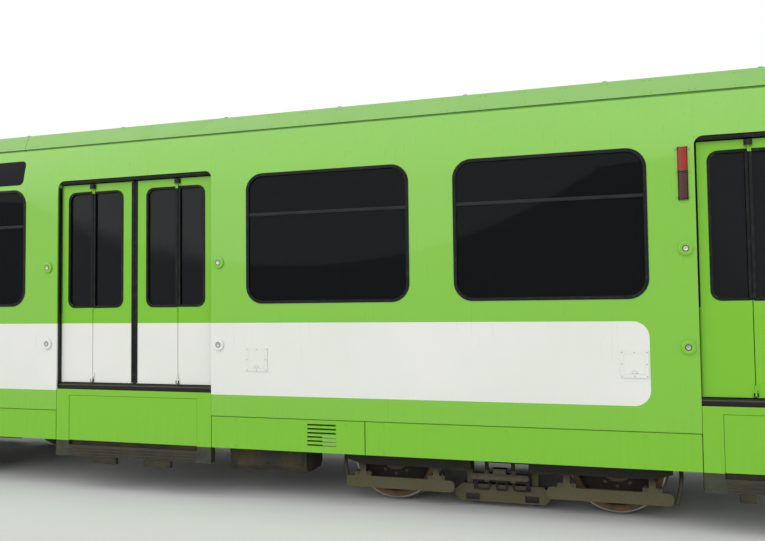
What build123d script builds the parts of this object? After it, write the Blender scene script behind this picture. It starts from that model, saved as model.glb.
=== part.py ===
"""A three-section articulated light rail car for standard gauge track, in millimetres.

The car is 28.28 m long over its couplers. Two end sections, each with a cab, rest on a motor bogie
and share a trailer bogie with the short middle section. +X runs along the car towards end b, +Z is up,
and the origin lies on the floor under the middle of the car. The car stands on its wheel flanges,
so the rail head would lie at rail_top.
"""

import math
import os

from build123d import *

os.makedirs("parts", exist_ok=True)

# Heights, measured from the flange tips on the floor
rail_top = 28
skirt_bottom = rail_top + 431
skirt_top = rail_top + 695
wall_bottom = rail_top + 703
step_bottom = rail_top + 290
step_panel_top = rail_top + 842
sill_bottom = rail_top + 897
sill_top = rail_top + 950
floor_top = rail_top + 943
floor_thickness = 100
door_bottom = rail_top + 957
door_top = rail_top + 2790
doorway_top = rail_top + 2830
window_bottom = rail_top + 1660
window_top = rail_top + 2775
door_window_top = rail_top + 2700
sign_bottom = rail_top + 2820
sign_top = rail_top + 3060
shoulder = rail_top + 2650
wall_top = rail_top + 3160
strip_bottom = rail_top + 3180
strip_top = rail_top + 3325
crown = rail_top + 3385

# Plan of the whole car
half_width = 1200
pivot_span_middle = 6500
pivot_span_end = 6550
nose_overhang = 3950
gangway_half_gap = 400
coupler_reach = 390
cone_length = 90
joint_x = pivot_span_middle / 2
bogie_x = joint_x + pivot_span_end
nose_x = bogie_x + nose_overhang
middle_end_x = joint_x - gangway_half_gap
end_start_x = joint_x + gangway_half_gap

# Body shell
wall = 70
shoulder_radius = 1500
window_width = 1445
window_corner = 150
seal_width = 26
seal_depth = 34
seal_proud = 4
glass_inset = 9
glass_thickness = 8
seat_gap = 0.3
doorway_corner = 65

# Doorways: places from the bogie centre of the end section, towards the nose
double_door_width = 1617
single_door_width = 800
double_door_at = -4050
single_door_at = 1484
end_window_at = -4415 - window_width
first_window_at = -2093
second_window_at = -288
middle_window_gap = 350
sign_width = 1200
sign_corner = 50

# Folding door panels
door_recess = 50
panel_thickness = 35
fold_at = 360
jamb_gap = 6
fold_seam = 3
meeting_gap = 5
closing_gap = 7
hinge_offset = 8
knuckle_radius = 7
knuckle_height = 40
pin_radius = 8
guide_radius = 6
guide_clearance = 3
gear_drop = 36
gear_height = 110
gear_depth = 75
panel_margin = 106
nose_margin = 110

# Cab
mask_start_x = bogie_x + 2450
mask_wall = 60
cab_floor_end_x = nose_x - 600
coupler_opening = 480
coupler_opening_top = rail_top + 770
partition_at = mask_start_x - 120
partition_thickness = 40

# Bogies and wheels
wheelbase = 1800
tread_radius = 365
flange_radius = tread_radius + rail_top
axle_z = flange_radius
axle_radius = 60
wheel_back = 682
wheel_width = 105
axle_end = 815
bearing_clearance = 0.5
sill_width = 70
beam_y = 560
beam_width = 140
beam_bottom = rail_top + 430
beam_top = rail_top + 560
beam_height = beam_top - beam_bottom
transom_x = 330
transom_width = 140
transom_half = 920
rail_y = 890
rail_width = 60
rail_bottom = rail_top + 300
rail_height = 100
guard_half = 1300
guard_start = 370
guard_bottom = rail_top + 106
guard_height = 95
guard_corner = 38
guard_thickness = 30
notch_half = 230
stud_top = rail_bottom + 72
stud_at = 105
stud_radius = 15
bar_bottom = rail_top + 227
bar_height = 48
brake_y = 745
ring_outer = 520
ring_inner = 430
ring_top = rail_top + 640
motor_radius = 190

# Articulation
tongue_radius = 240
tongue_thickness = 60
centre_plate_radius = 250
spigot_radius = 120
pivot_pin_radius = 60
gangway_disc_radius = 640
disc_clearance = 10
bellows_half = half_width - 100
bellows_folds = 10
fold_height = 50
bellows_wall = 15

# Pantograph
arm_length = 1500
arm_rest_angle = 5
panto_pivot_z = crown + 150

end_doors = [(bogie_x + double_door_at, double_door_width), (bogie_x + single_door_at, single_door_width)]
middle_doors = [(-double_door_width / 2, double_door_width)]
end_windows = [bogie_x + end_window_at, bogie_x + first_window_at, bogie_x + second_window_at]
middle_windows = [
    -double_door_width / 2 - middle_window_gap - window_width,
    double_door_width / 2 + middle_window_gap,
]


def save(pieces, node, turned=False):
    """Writes one node; turned gives its twin at end a, half a turn about the middle of the car."""
    solids = [solid for piece in pieces for solid in piece.solids()]
    whole = solids[0] if len(solids) == 1 else Compound(solids)
    if turned:
        whole = whole.rotate(Axis.Z, 180)
    whole.label = node
    export_step(whole, f"parts/{node}.step")


def side_y(z, inset=0):
    """Half-width of the body shell at height z."""
    rise = max(0, z - shoulder)
    radius = shoulder_radius - inset
    return half_width - shoulder_radius + math.sqrt(radius**2 - rise**2)


def wall_strip(x_start, x_end, outer_inset, inner_inset, bottom, top):
    """A length of the side wall of the +Y side, between two insets from the outer skin."""
    middle_z = (shoulder + top) / 2
    with BuildPart() as strip:
        with BuildSketch(Plane.YZ.offset(x_start)):
            with BuildLine():
                outer_low = Line((side_y(0, outer_inset), bottom), (side_y(0, outer_inset), shoulder))
                outer_arc = ThreePointArc(
                    outer_low @ 1,
                    (side_y(middle_z, outer_inset), middle_z),
                    (side_y(top, outer_inset), top),
                )
                across = Line(outer_arc @ 1, (side_y(top, inner_inset), top))
                inner_arc = ThreePointArc(
                    across @ 1,
                    (side_y(middle_z, inner_inset), middle_z),
                    (side_y(0, inner_inset), shoulder),
                )
                inner_low = Line(inner_arc @ 1, (side_y(0, inner_inset), bottom))
                Line(inner_low @ 1, outer_low @ 0)
            make_face()
        extrude(amount=x_end - x_start)
    return strip.part


def window_prism(x_start, width, bottom, top, corner, shrink=0):
    """A rounded prism through the +Y side wall, shrunk all round."""
    with BuildPart() as prism:
        with BuildSketch(Plane.XZ.offset(-half_width - 100)):
            with Locations((x_start + width / 2, (bottom + top) / 2)):
                RectangleRounded(width - 2 * shrink, top - bottom - 2 * shrink, corner - shrink)
        extrude(amount=300)
    return prism.part


def side_walls(x_start, x_end, windows, doors, signs):
    """Both side walls of a section: piers with windows and sign boxes, and a lintel over each doorway."""
    edges = [x_start]
    for x, width in sorted(doors):
        edges += [x, x + width]
    edges.append(x_end)
    panels = []
    for start, end in zip(edges[::2], edges[1::2]):
        with BuildPart() as pier:
            add(wall_strip(start, end, 0, wall, wall_bottom, wall_top))
            for x in windows:
                if start < x < end:
                    cut = window_prism(x, window_width, window_bottom, window_top, window_corner)
                    add(cut, mode=Mode.SUBTRACT)
            for x in signs:
                if start < x < end:
                    add(window_prism(x, sign_width, sign_bottom, sign_top, sign_corner), mode=Mode.SUBTRACT)
        panels.append(pier.part)
    for start, end in zip(edges[1:-1:2], edges[2:-1:2]):
        with BuildPart() as lintel:
            add(wall_strip(start + seat_gap, end - seat_gap, 0, wall, window_bottom, wall_top))
            with Locations(((start + end) / 2, half_width, doorway_top)):
                Box(end - start, 600, 3000, align=(Align.CENTER, Align.CENTER, Align.MAX),
                    mode=Mode.SUBTRACT)
        panels.append(lintel.part)
    return panels + [panel.mirror(Plane.XZ) for panel in panels]


def doorway_corners(doors):
    """The rounded upper corners of the doorways on both sides, let in between piers and lintels."""
    corners = []
    for x, width in doors:
        for edge, toward in ((x, 1), (x + width, -1)):
            start, end = sorted((edge + toward * seat_gap, edge + toward * doorway_corner))
            with BuildPart() as corner:
                add(wall_strip(start, end, 0, wall, window_bottom, doorway_top - seat_gap))
                low = wall_bottom - 2 * doorway_corner
                cut = window_prism(x, width, low, doorway_top, doorway_corner)
                add(cut, mode=Mode.SUBTRACT)
            corners += [corner.part, corner.part.mirror(Plane.XZ)]
    return corners


def seal_ring(x):
    """The rubber frame of the +Y window that starts at x."""
    with BuildPart() as ring:
        add(wall_strip(x, x + window_width, -seal_proud, seal_depth, window_bottom, window_top))
        hole = window_prism(x, window_width, window_bottom, window_top, window_corner, seat_gap)
        add(hole, mode=Mode.INTERSECT)
        opening = window_prism(x, window_width, window_bottom, window_top, window_corner, seal_width)
        add(opening, mode=Mode.SUBTRACT)
    return ring.part


def saloon_pane(x):
    """The pane inside the rubber frame of the +Y window that starts at x."""
    reach = seal_width + seat_gap
    with BuildPart() as pane:
        add(wall_strip(x, x + window_width, glass_inset, glass_inset + glass_thickness, window_bottom, window_top))
        shape = window_prism(x, window_width, window_bottom, window_top, window_corner, reach)
        add(shape, mode=Mode.INTERSECT)
    return pane.part


def sign_pane(x):
    """The dark pane of the +Y sign box that starts at x."""
    with BuildPart() as pane:
        add(wall_strip(x, x + sign_width, 0, seal_depth, window_bottom, sign_top))
        shape = window_prism(x, sign_width, sign_bottom, sign_top, sign_corner, seat_gap)
        add(shape, mode=Mode.INTERSECT)
    return pane.part


def window_seals(windows):
    """The rubber frames that hold the saloon windows of both sides."""
    rings = [seal_ring(x) for x in windows]
    return rings + [ring.mirror(Plane.XZ) for ring in rings]


def glass_panes(windows, signs):
    """The saloon panes of both sides, and the dark panes of the sign boxes."""
    panes = [saloon_pane(x) for x in windows] + [sign_pane(x) for x in signs]
    return panes + [pane.mirror(Plane.XZ) for pane in panes]


def roof_shell(x_start, x_end):
    """The roof with its sloping edge strips, over the dark groove above the side walls."""
    edge = side_y(wall_top)
    with BuildPart() as roof:
        with BuildSketch(Plane.YZ.offset(x_start)):
            with BuildLine():
                outline = Polyline(
                    (0, wall_top),
                    (edge - 25, wall_top),
                    (edge - 25, strip_bottom),
                    (edge - 2, strip_bottom),
                    (edge - 62, strip_top),
                )
                arc = ThreePointArc(
                    outline @ 1, ((edge - 62) / 2, crown - (crown - strip_top) / 4), (0, crown)
                )
                Line(arc @ 1, (0, wall_top))
            make_face()
        extrude(amount=x_end - x_start)
        mirror(about=Plane.XZ)
    return roof.part


def boxes(table):
    """Plain equipment cases from rows of x centre, y centre, bottom, length, width, height."""
    with BuildPart() as cases:
        for x, y, bottom, length, width, height in table:
            with Locations((x, y, bottom)):
                Box(length, width, height, align=(Align.CENTER, Align.CENTER, Align.MIN))
        chamfer(cases.part.edges().filter_by(Axis.Z), 15)
    return cases.part


def step_unit(x, width):
    """A stowed folding step under a doorway of the +Y side: posts, tread, sill and cover panel."""
    post = 140
    reveal = 3
    with BuildPart() as unit:
        with BuildSketch(Plane.XZ.offset(-half_width + 2)):
            with Locations((x + width / 2, (step_bottom + sill_bottom) / 2)):
                Rectangle(width - 2 * reveal, sill_bottom - step_bottom)
            with Locations((x + width / 2, (skirt_bottom - 40 + step_panel_top) / 2)):
                Rectangle(width - 2 * post, step_panel_top - skirt_bottom + 40, mode=Mode.SUBTRACT)
            with Locations((x + width / 2, step_bottom)):
                Rectangle(width - 2 * post, 8, mode=Mode.SUBTRACT)
        extrude(amount=half_width - 2 - (half_width - wall))
    with BuildPart() as panel:
        with Locations((x + width / 2, half_width - 5, (skirt_bottom + step_panel_top) / 2)):
            Box(
                width - 2 * post - 2 * reveal,
                24,
                step_panel_top - skirt_bottom - 2 * reveal,
                align=(Align.CENTER, Align.MAX, Align.CENTER),
            )
        with Locations((x + width / 2 - width / 4, half_width - 29, step_panel_top - 60),
                       (x + width / 2 + width / 4, half_width - 29, step_panel_top - 60)):
            Box(60, 30, 60 - seat_gap, align=(Align.CENTER, Align.MAX, Align.MIN))
    with BuildPart() as sill:
        with Locations((x + width / 2, half_width - 22, sill_bottom + seat_gap)):
            Box(width - 2 * reveal, 48, sill_top - sill_bottom, align=(Align.CENTER, Align.MAX, Align.MIN))
        chamfer(sill.part.edges().filter_by(Axis.X).group_by(Axis.Z)[-1], 8)
    return [unit.part, panel.part, sill.part]


def skirt(x_start, x_end):
    """One skirt panel of the +Y side, hung under the wall with a dark shadow line above it."""
    thickness = 30
    with BuildPart() as panel:
        with BuildSketch(Plane.YZ.offset(x_start)):
            with BuildLine():
                Polyline(
                    (half_width - 2, skirt_bottom),
                    (half_width - 2, skirt_top),
                    (half_width - 2 - thickness / 2, skirt_top),
                    (half_width - 2 - thickness / 2, wall_bottom - seat_gap),
                    (half_width - 2 - thickness, wall_bottom - seat_gap),
                    (half_width - 2 - thickness, skirt_bottom),
                    close=True,
                )
            make_face()
        extrude(amount=x_end - x_start)
    return panel.part


def skirts(x_start, x_end, doors, seams, louvres):
    """Skirt panels between the doorways on both sides, and the step unit under each doorway."""
    gap = 8
    cuts = sorted([(x, x + width) for x, width in doors] + [(x, x) for x in seams])
    starts = [x_start] + [end + gap / 2 for _, end in cuts]
    ends = [start - gap / 2 for start, _ in cuts] + [x_end]
    with BuildPart() as group:
        for start, end in zip(starts, ends):
            add(skirt(start, end))
        for x in louvres:
            for row in range(6):
                with Locations((x, half_width, rail_top + 484 + 33 * row)):
                    Box(254, 80, 14, align=(Align.CENTER, Align.CENTER, Align.MIN), mode=Mode.SUBTRACT)
        for x, width in doors:
            for piece in step_unit(x, width):
                add(piece)
        mirror(about=Plane.XZ)
    return group.part


def door_panel(jamb_x, side, facing, inner, reach, hung):
    """One panel of a folding door. side is the wall, -1 or 1, facing the way from jamb to free end.

    The outer panel turns on pins at the jamb. The inner panel hangs at the fold, its knuckles between
    those of the outer one, and its guide pin stays as far from the fold as the jamb pins do.
    A panel that isn't hung stands on a guide block.
    """
    face_y = half_width - door_recess
    middle_y = face_y - panel_thickness / 2
    pivot_u = jamb_gap + panel_thickness / 2
    if inner:
        start, end = fold_at + fold_seam, reach
        glass_start, glass_end = fold_at + 18, reach - nose_margin - 26
        pins = [2 * fold_at - pivot_u]
        round_end = end - panel_thickness / 2
    else:
        start, end = jamb_gap, fold_at - fold_seam
        glass_start, glass_end = panel_margin, fold_at - 18
        pins = [pivot_u]
        round_end = pivot_u
    corner_reach = max(0, doorway_corner - pivot_u + pin_radius)
    corner_drop = doorway_corner - math.sqrt(doorway_corner**2 - corner_reach**2)
    height = door_top - door_bottom
    with BuildPart() as panel:
        with BuildSketch(Plane.XY.offset(door_bottom)):
            flat_start, flat_end = start, end
            if hung:
                flat_start, flat_end = (start, round_end) if inner else (round_end, end)
            with Locations(((flat_start + flat_end) / 2, middle_y)):
                Rectangle(flat_end - flat_start, panel_thickness)
            if hung:
                with Locations((round_end, middle_y)):
                    Circle(panel_thickness / 2)
        extrude(amount=height)
        centre_u = (glass_start + glass_end) / 2
        with BuildSketch(Plane.XZ.offset(-half_width)) as opening:
            with Locations((centre_u, (window_bottom + door_window_top) / 2)):
                Rectangle(glass_end - glass_start, door_window_top - window_bottom)
            corners = opening.vertices().sort_by(Axis.X)[2:] if inner else opening.vertices().sort_by(Axis.X)[:2]
            fillet(corners, 60)
        extrude(amount=200, mode=Mode.SUBTRACT)
        if hung and not inner:
            rise = doorway_top - door_top - corner_drop - seat_gap
            with Locations((pins[0], middle_y, door_top)):
                Cylinder(pin_radius, rise, align=(Align.CENTER, Align.CENTER, Align.MIN))
            with Locations((pins[0], middle_y, door_bottom)):
                Cylinder(pin_radius, door_bottom - sill_top - 2 * seat_gap,
                         align=(Align.CENTER, Align.CENTER, Align.MAX))
        if not hung:
            with Locations((pins[0], middle_y, door_bottom)):
                Box(2 * pin_radius, 2 * pin_radius, door_bottom - sill_top - seat_gap,
                    align=(Align.CENTER, Align.CENTER, Align.MAX))
        else:
            toward = 10 if inner else -10
            lift = 10 + (knuckle_height + seat_gap if inner else 0)
            for z in (door_bottom + lift, door_top - lift - knuckle_height):
                with Locations((fold_at + toward, face_y, z)):
                    Box(20, hinge_offset, knuckle_height, align=(Align.CENTER, Align.MIN, Align.MIN))
                with Locations((fold_at, face_y + hinge_offset, z)):
                    Cylinder(knuckle_radius, knuckle_height, align=(Align.CENTER, Align.CENTER, Align.MIN))
    with BuildPart() as pane:
        with BuildSketch(Plane.XZ.offset(-middle_y - 3)) as glass:
            with Locations((centre_u, (window_bottom + door_window_top) / 2)):
                Rectangle(
                    glass_end - glass_start - 2 * seat_gap,
                    door_window_top - window_bottom - 2 * seat_gap,
                )
            corners = glass.vertices().sort_by(Axis.X)[2:] if inner else glass.vertices().sort_by(Axis.X)[:2]
            fillet(corners, 60)
        extrude(amount=6)
    solids = [panel.part, pane.part]
    if hung and inner:
        with BuildPart() as guides:
            with Locations((pins[0], middle_y, door_top + seat_gap)):
                Cylinder(guide_radius, doorway_top - door_top - 10, align=(Align.CENTER, Align.CENTER, Align.MIN))
            with Locations((pins[0], middle_y, door_bottom - seat_gap)):
                Cylinder(guide_radius, door_bottom - sill_top - guide_clearance,
                         align=(Align.CENTER, Align.CENTER, Align.MAX))
        solids.append(guides.part)
    whole = Compound(solids)
    if facing < 0:
        whole = whole.mirror(Plane.YZ)
    if side < 0:
        whole = whole.mirror(Plane.XZ)
    return whole.moved(Location((jamb_x, 0, 0)))


def doorway_panels(x, width, side, hung=False):
    """All panels of one doorway: two for a single door, four for a double one."""
    if width == single_door_width:
        reach = width - closing_gap
        return [door_panel(x, side, 1, inner, reach, hung) for inner in (False, True)]
    reach = width / 2 - meeting_gap
    left = [door_panel(x, side, 1, inner, reach, hung) for inner in (False, True)]
    right = [door_panel(x + width, side, -1, inner, reach, hung) for inner in (False, True)]
    return left + right


def door_gear(x, width, side):
    """The casing of the door gear inside the lintel of one doorway, over the leaves."""
    low, high = doorway_top + seat_gap, doorway_top + gear_height
    lip = half_width - door_recess - panel_thickness - seat_gap
    back = lip - gear_depth
    with BuildPart() as casing:
        with BuildSketch(Plane.YZ.offset(x - 40)):
            with BuildLine():
                Polyline(
                    (side * lip, low),
                    (side * (side_y(high, wall) - seat_gap), low),
                    (side * (side_y(high, wall) - seat_gap), high),
                    (side * back, high - 30),
                    (side * back, doorway_top - gear_drop),
                    (side * lip, doorway_top - gear_drop),
                    close=True,
                )
            make_face()
        extrude(amount=width + 80)
    return casing.part


def bench(x, y, width, facing):
    """A seat for one or two: cushion and backrest, and their foot. facing is the way that a rider looks."""
    cushion_top = floor_top + 440
    with BuildPart() as cushion:
        with Locations((x, y, cushion_top)):
            Box(420, width, 90, align=(Align.CENTER, Align.CENTER, Align.MAX))
        chamfer(cushion.part.edges().filter_by(Axis.Y).group_by(Axis.Z)[-1], 20)
    with BuildPart() as back:
        with BuildSketch(Plane.YZ.offset(x - facing * (210 + seat_gap + 30))):
            with Locations((y, cushion_top - 60)):
                Rectangle(width, 640, align=(Align.CENTER, Align.MIN))
        extrude(amount=30, both=True)
        chamfer(back.part.edges().filter_by(Axis.X).group_by(Axis.Z)[-1], 80)
    with BuildPart() as foot:
        with BuildSketch(Plane.XY.offset(floor_top + seat_gap)):
            with Locations((x, y)):
                Rectangle(180, width - 260)
        with BuildSketch(Plane.XY.offset(cushion_top - 90 - seat_gap)):
            with Locations((x, y)):
                Rectangle(360, width - 60)
        loft(ruled=True)
    return [cushion.part, back.part], [foot.part]


def interior(bays, poles):
    """Seats in facing pairs beside each window bay, double on the -Y side and single on the +Y side."""
    seats, rigid = [], []
    inner_face = half_width - wall - seat_gap
    for start, length in bays:
        for centre, facing in ((start + 245 + 32, 1), (start + length - 245 - 32, -1)):
            for y, width in ((-(inner_face - 440), 880), (inner_face - 225, 450)):
                soft, feet = bench(centre, y, width, facing)
                seats += soft
                rigid += feet
    for x, y in poles:
        with BuildPart() as rod:
            with Locations((x, y, floor_top + seat_gap)):
                Cylinder(
                    17, wall_top - floor_top - 2 * seat_gap, align=(Align.CENTER, Align.CENTER, Align.MIN)
                )
        rigid.append(rod.part)
    return seats, rigid


def floor_and_sills(x_start, x_end, cut_centres, cut_radius, bearers):
    """The floor slab with its round gangway cuts, the two side sills and the cross bearers."""
    slab_y = half_width - wall
    with BuildPart() as slab:
        with Locations(((x_start + x_end) / 2, 0, floor_top)):
            Box(x_end - x_start, 2 * slab_y, floor_thickness, align=(Align.CENTER, Align.CENTER, Align.MAX))
        for x in cut_centres:
            with Locations((x, 0, floor_top)):
                Cylinder(cut_radius, 3 * floor_thickness, mode=Mode.SUBTRACT)
    under = floor_top - floor_thickness - seat_gap
    pieces = [slab.part]
    for side in (-1, 1):
        with BuildPart() as sill:
            with Locations(((x_start + x_end) / 2, side * (slab_y - sill_width / 2), under)):
                Box(x_end - x_start, sill_width, under - wall_bottom,
                    align=(Align.CENTER, Align.CENTER, Align.MAX))
        pieces.append(sill.part)
    for x in bearers:
        with BuildPart() as bearer:
            with BuildSketch(Plane.XZ.offset(-(slab_y - sill_width - seat_gap))):
                with BuildLine():
                    Polyline((x - 55, under), (x + 55, under), (x + 30, under - 90), (x - 30, under - 90),
                             close=True)
                make_face()
            extrude(amount=2 * (slab_y - sill_width - seat_gap))
        pieces.append(bearer.part)
    return pieces


def floor_boxes(table):
    """Equipment cases hung under the floor, from rows of x centre, y centre, bottom, length and width."""
    under = floor_top - floor_thickness - seat_gap
    pieces = []
    for x, y, bottom, length, width in table:
        with BuildPart() as case:
            with Locations((x, y, bottom)):
                Box(length, width, under - bottom, align=(Align.CENTER, Align.CENTER, Align.MIN))
            chamfer(case.part.edges().filter_by(Axis.X).group_by(Axis.Z)[0], 40)
        pieces.append(case.part)
    return pieces


def tongue(x_root, x_pivot, bottom):
    """A drawbar from a section's end to the articulation pivot, rounded about the pivot."""
    with BuildPart() as bar:
        with BuildSketch(Plane.XY.offset(bottom)):
            with Locations(((x_root + x_pivot) / 2, 0)):
                Rectangle(abs(x_pivot - x_root), 2 * tongue_radius)
            with Locations((x_pivot, 0)):
                Circle(tongue_radius)
        extrude(amount=tongue_thickness)
    return bar.part


def mask_outline(inset):
    """The cab moulding at end b as one solid, drawn in from its outer skin by an inset.

    Side profile, plan taper and body section are crossed. It runs out at the back and below.
    """
    back = mask_start_x - 300
    low = skirt_bottom - 300
    with BuildPart() as mask:
        with BuildSketch(Plane.XZ) as side:
            with BuildLine():
                Polyline(
                    (back, low),
                    (nose_x - 130, low),
                    (nose_x, rail_top + 900),
                    (nose_x - 20, rail_top + 1340),
                    (nose_x - 330, rail_top + 2760),
                    (nose_x - 470, rail_top + 3130),
                    (nose_x - 800, crown - 10),
                    (back, crown),
                    close=True,
                )
            make_face()
            fillet(side.vertices().sort_by(Axis.X)[-5:], 90)
            if inset:
                offset(amount=-inset, mode=Mode.REPLACE)
        extrude(amount=half_width + 50, both=True)
        with BuildSketch(Plane.XY) as plan:
            with BuildLine():
                taper = Polyline(
                    (back, -half_width), (mask_start_x, -half_width), (nose_x - 900, 40 - half_width),
                    (nose_x - 120, 200 - half_width),
                )
                front = ThreePointArc(taper @ 1, (nose_x, 0), (nose_x - 120, half_width - 200))
                Polyline(
                    front @ 1, (nose_x - 900, half_width - 40), (mask_start_x, half_width),
                    (back, half_width), taper @ 0,
                )
            make_face()
            fillet(plan.vertices().sort_by(Axis.X)[-2:], 170)
            if inset:
                offset(amount=-inset, mode=Mode.REPLACE)
        extrude(amount=crown + 100, mode=Mode.INTERSECT)
        with BuildSketch(Plane.YZ.offset(back)):
            edge = side_y(wall_top)
            middle_z = (shoulder + wall_top) / 2
            with BuildLine():
                base = Line((-half_width, low), (half_width, low))
                up = Line(base @ 1, (half_width, shoulder))
                arc = ThreePointArc(up @ 1, (side_y(middle_z), middle_z), (edge, wall_top))
                strip = Line(arc @ 1, (edge - 62, strip_top))
                top = ThreePointArc(strip @ 1, (0, crown), (62 - edge, strip_top))
                other = Line(top @ 1, (-edge, wall_top))
                fall = ThreePointArc(other @ 1, (-side_y(middle_z), middle_z), (-half_width, shoulder))
                Line(fall @ 1, base @ 0)
            make_face()
            if inset:
                offset(amount=-inset, mode=Mode.REPLACE)
        extrude(amount=nose_x - back + 50, mode=Mode.INTERSECT)
    return mask.part


def front_prism(half_span, bottom, top, corner, shrink=0):
    """A rounded prism from the front into the cab moulding, shrunk all round."""
    with BuildPart() as prism:
        with BuildSketch(Plane.YZ.offset(nose_x - 700)):
            with Locations((0, (bottom + top) / 2)):
                RectangleRounded(2 * (half_span - shrink), top - bottom - 2 * shrink, corner - shrink)
        extrude(amount=800)
    return prism.part


def cab_side_prism(shrink=0):
    """A rounded prism across the cab through both of its side windows."""
    with BuildPart() as prism:
        with BuildSketch(Plane.XZ):
            with Locations((mask_start_x + 550, (window_bottom + window_top) / 2 - 40)):
                RectangleRounded(
                    760 - 2 * shrink, window_top - window_bottom - 80 - 2 * shrink, 120 - shrink
                )
        extrude(amount=half_width + 50, both=True)
    return prism.part


def lamp_rods(radius_change=0):
    """Rods along the car at the head lamps and tail lamps of the cab front."""
    with BuildPart() as rods:
        for y, radius in ((720, 90), (540, 45)):
            for side in (-1, 1):
                with Locations(Location((nose_x - 150, side * y, rail_top + 1050), (0, 90, 0))):
                    Cylinder(radius + radius_change, 300)
    return rods.part


def cab_front():
    """The hollow cab moulding, its lower apron, its panes and its lamps."""
    outer = mask_outline(0)
    glass_outer = mask_outline(10)
    glass_inner = mask_outline(18)
    cavity = mask_outline(mask_wall)
    with BuildPart() as shell:
        add(outer)
        add(cavity, mode=Mode.SUBTRACT)
        add(front_prism(930, rail_top + 1480, rail_top + 2700, 120), mode=Mode.SUBTRACT)
        add(front_prism(620, rail_top + 2830, rail_top + 3060, 60), mode=Mode.SUBTRACT)
        add(cab_side_prism(), mode=Mode.SUBTRACT)
        add(lamp_rods(), mode=Mode.SUBTRACT)
        with Locations((mask_start_x, 0, 0)):
            Box(1000, 3000, 4000, align=(Align.MAX, Align.CENTER, Align.MIN), mode=Mode.SUBTRACT)
        with Locations((nose_x, 0, 0)):
            Box(5000, 3000, skirt_bottom, align=(Align.CENTER, Align.CENTER, Align.MIN),
                mode=Mode.SUBTRACT)
            Box(1000, 2 * coupler_opening, coupler_opening_top,
                align=(Align.CENTER, Align.CENTER, Align.MIN), mode=Mode.SUBTRACT)
    with BuildPart() as moulding:
        add(shell.part)
        with Locations((nose_x, 0, wall_bottom)):
            Box(5000, 3000, 1000, align=(Align.CENTER, Align.CENTER, Align.MAX), mode=Mode.SUBTRACT)
    with BuildPart() as apron:
        add(shell.part)
        with Locations((nose_x, 0, wall_bottom - seat_gap)):
            Box(5000, 3000, 5000, align=(Align.CENTER, Align.CENTER, Align.MIN), mode=Mode.SUBTRACT)
    with BuildPart() as groove:
        with Locations((nose_x, 0, skirt_top)):
            Box(5000, 3000, 50, align=(Align.CENTER, Align.CENTER, Align.MIN))
        add(glass_inner, mode=Mode.SUBTRACT)
    with BuildPart() as skin:
        add(glass_outer)
        add(glass_inner, mode=Mode.SUBTRACT)
    panes = []
    for prism in (
        front_prism(930, rail_top + 1480, rail_top + 2700, 120, seat_gap),
        front_prism(620, rail_top + 2830, rail_top + 3060, 60, seat_gap),
        cab_side_prism(seat_gap),
    ):
        panes.append(skin.part & prism)
    with BuildPart() as lamps:
        add(glass_outer)
        add(lamp_rods(-seat_gap), mode=Mode.INTERSECT)
    return moulding.part, apron.part - groove.part, panes, lamps.part


def wall_fittings(x, hatches, button_places):
    """Push-buttons, sand hatches and lamps on both sides, measured from x."""
    with BuildPart() as fittings:
        for u in button_places:
            for z in (rail_top + 1310, rail_top + 2020):
                with Locations(Location((x + u, half_width + seat_gap, z), (-90, 0, 0))):
                    Cylinder(50, 12, align=(Align.CENTER, Align.CENTER, Align.MIN))
        for u in hatches:
            with Locations((x + u, half_width + seat_gap, rail_top + 1186)):
                Box(200, 6, 200, align=(Align.CENTER, Align.MIN, Align.CENTER))
            for bottom, top in ((2369, 2570), (2574, 2754)):
                with BuildSketch(Plane.XY.offset(rail_top + bottom)):
                    with Locations((x + 1404, half_width + seat_gap)):
                        Polygon((-35, 0), (35, 0), (35, 8), (27, 14), (-27, 14), (-35, 8), align=None)
                extrude(amount=top - bottom)
        mirror(about=Plane.XZ)
    return fittings.part


def wheelset():
    """An axle with two flanged wheels pressed on it, at the origin of the bogie."""
    rim = tread_radius - 62
    outer_face = wheel_back + wheel_width
    with BuildPart() as axle:
        with Locations(Location((0, 0, 0), (90, 0, 0))):
            Cylinder(axle_radius, 2 * axle_end)
    with BuildPart() as wheel:
        with BuildSketch(Plane.YZ):
            with BuildLine():
                Polyline(
                    (wheel_back, axle_radius),
                    (wheel_back, 130),
                    (wheel_back + 42, rim - 20),
                    (wheel_back, rim),
                    (wheel_back, flange_radius - 10),
                    (wheel_back + 12, flange_radius),
                    (wheel_back + 32, tread_radius + 2),
                    (outer_face, tread_radius - 2),
                    (outer_face, rim),
                    (wheel_back + 74, rim - 20),
                    (outer_face, 130),
                    (outer_face, axle_radius),
                    close=True,
                )
            make_face()
        revolve(axis=Axis.Y)
    return [axle.part, wheel.part, wheel.part.mirror(Plane.XZ)]


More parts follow.
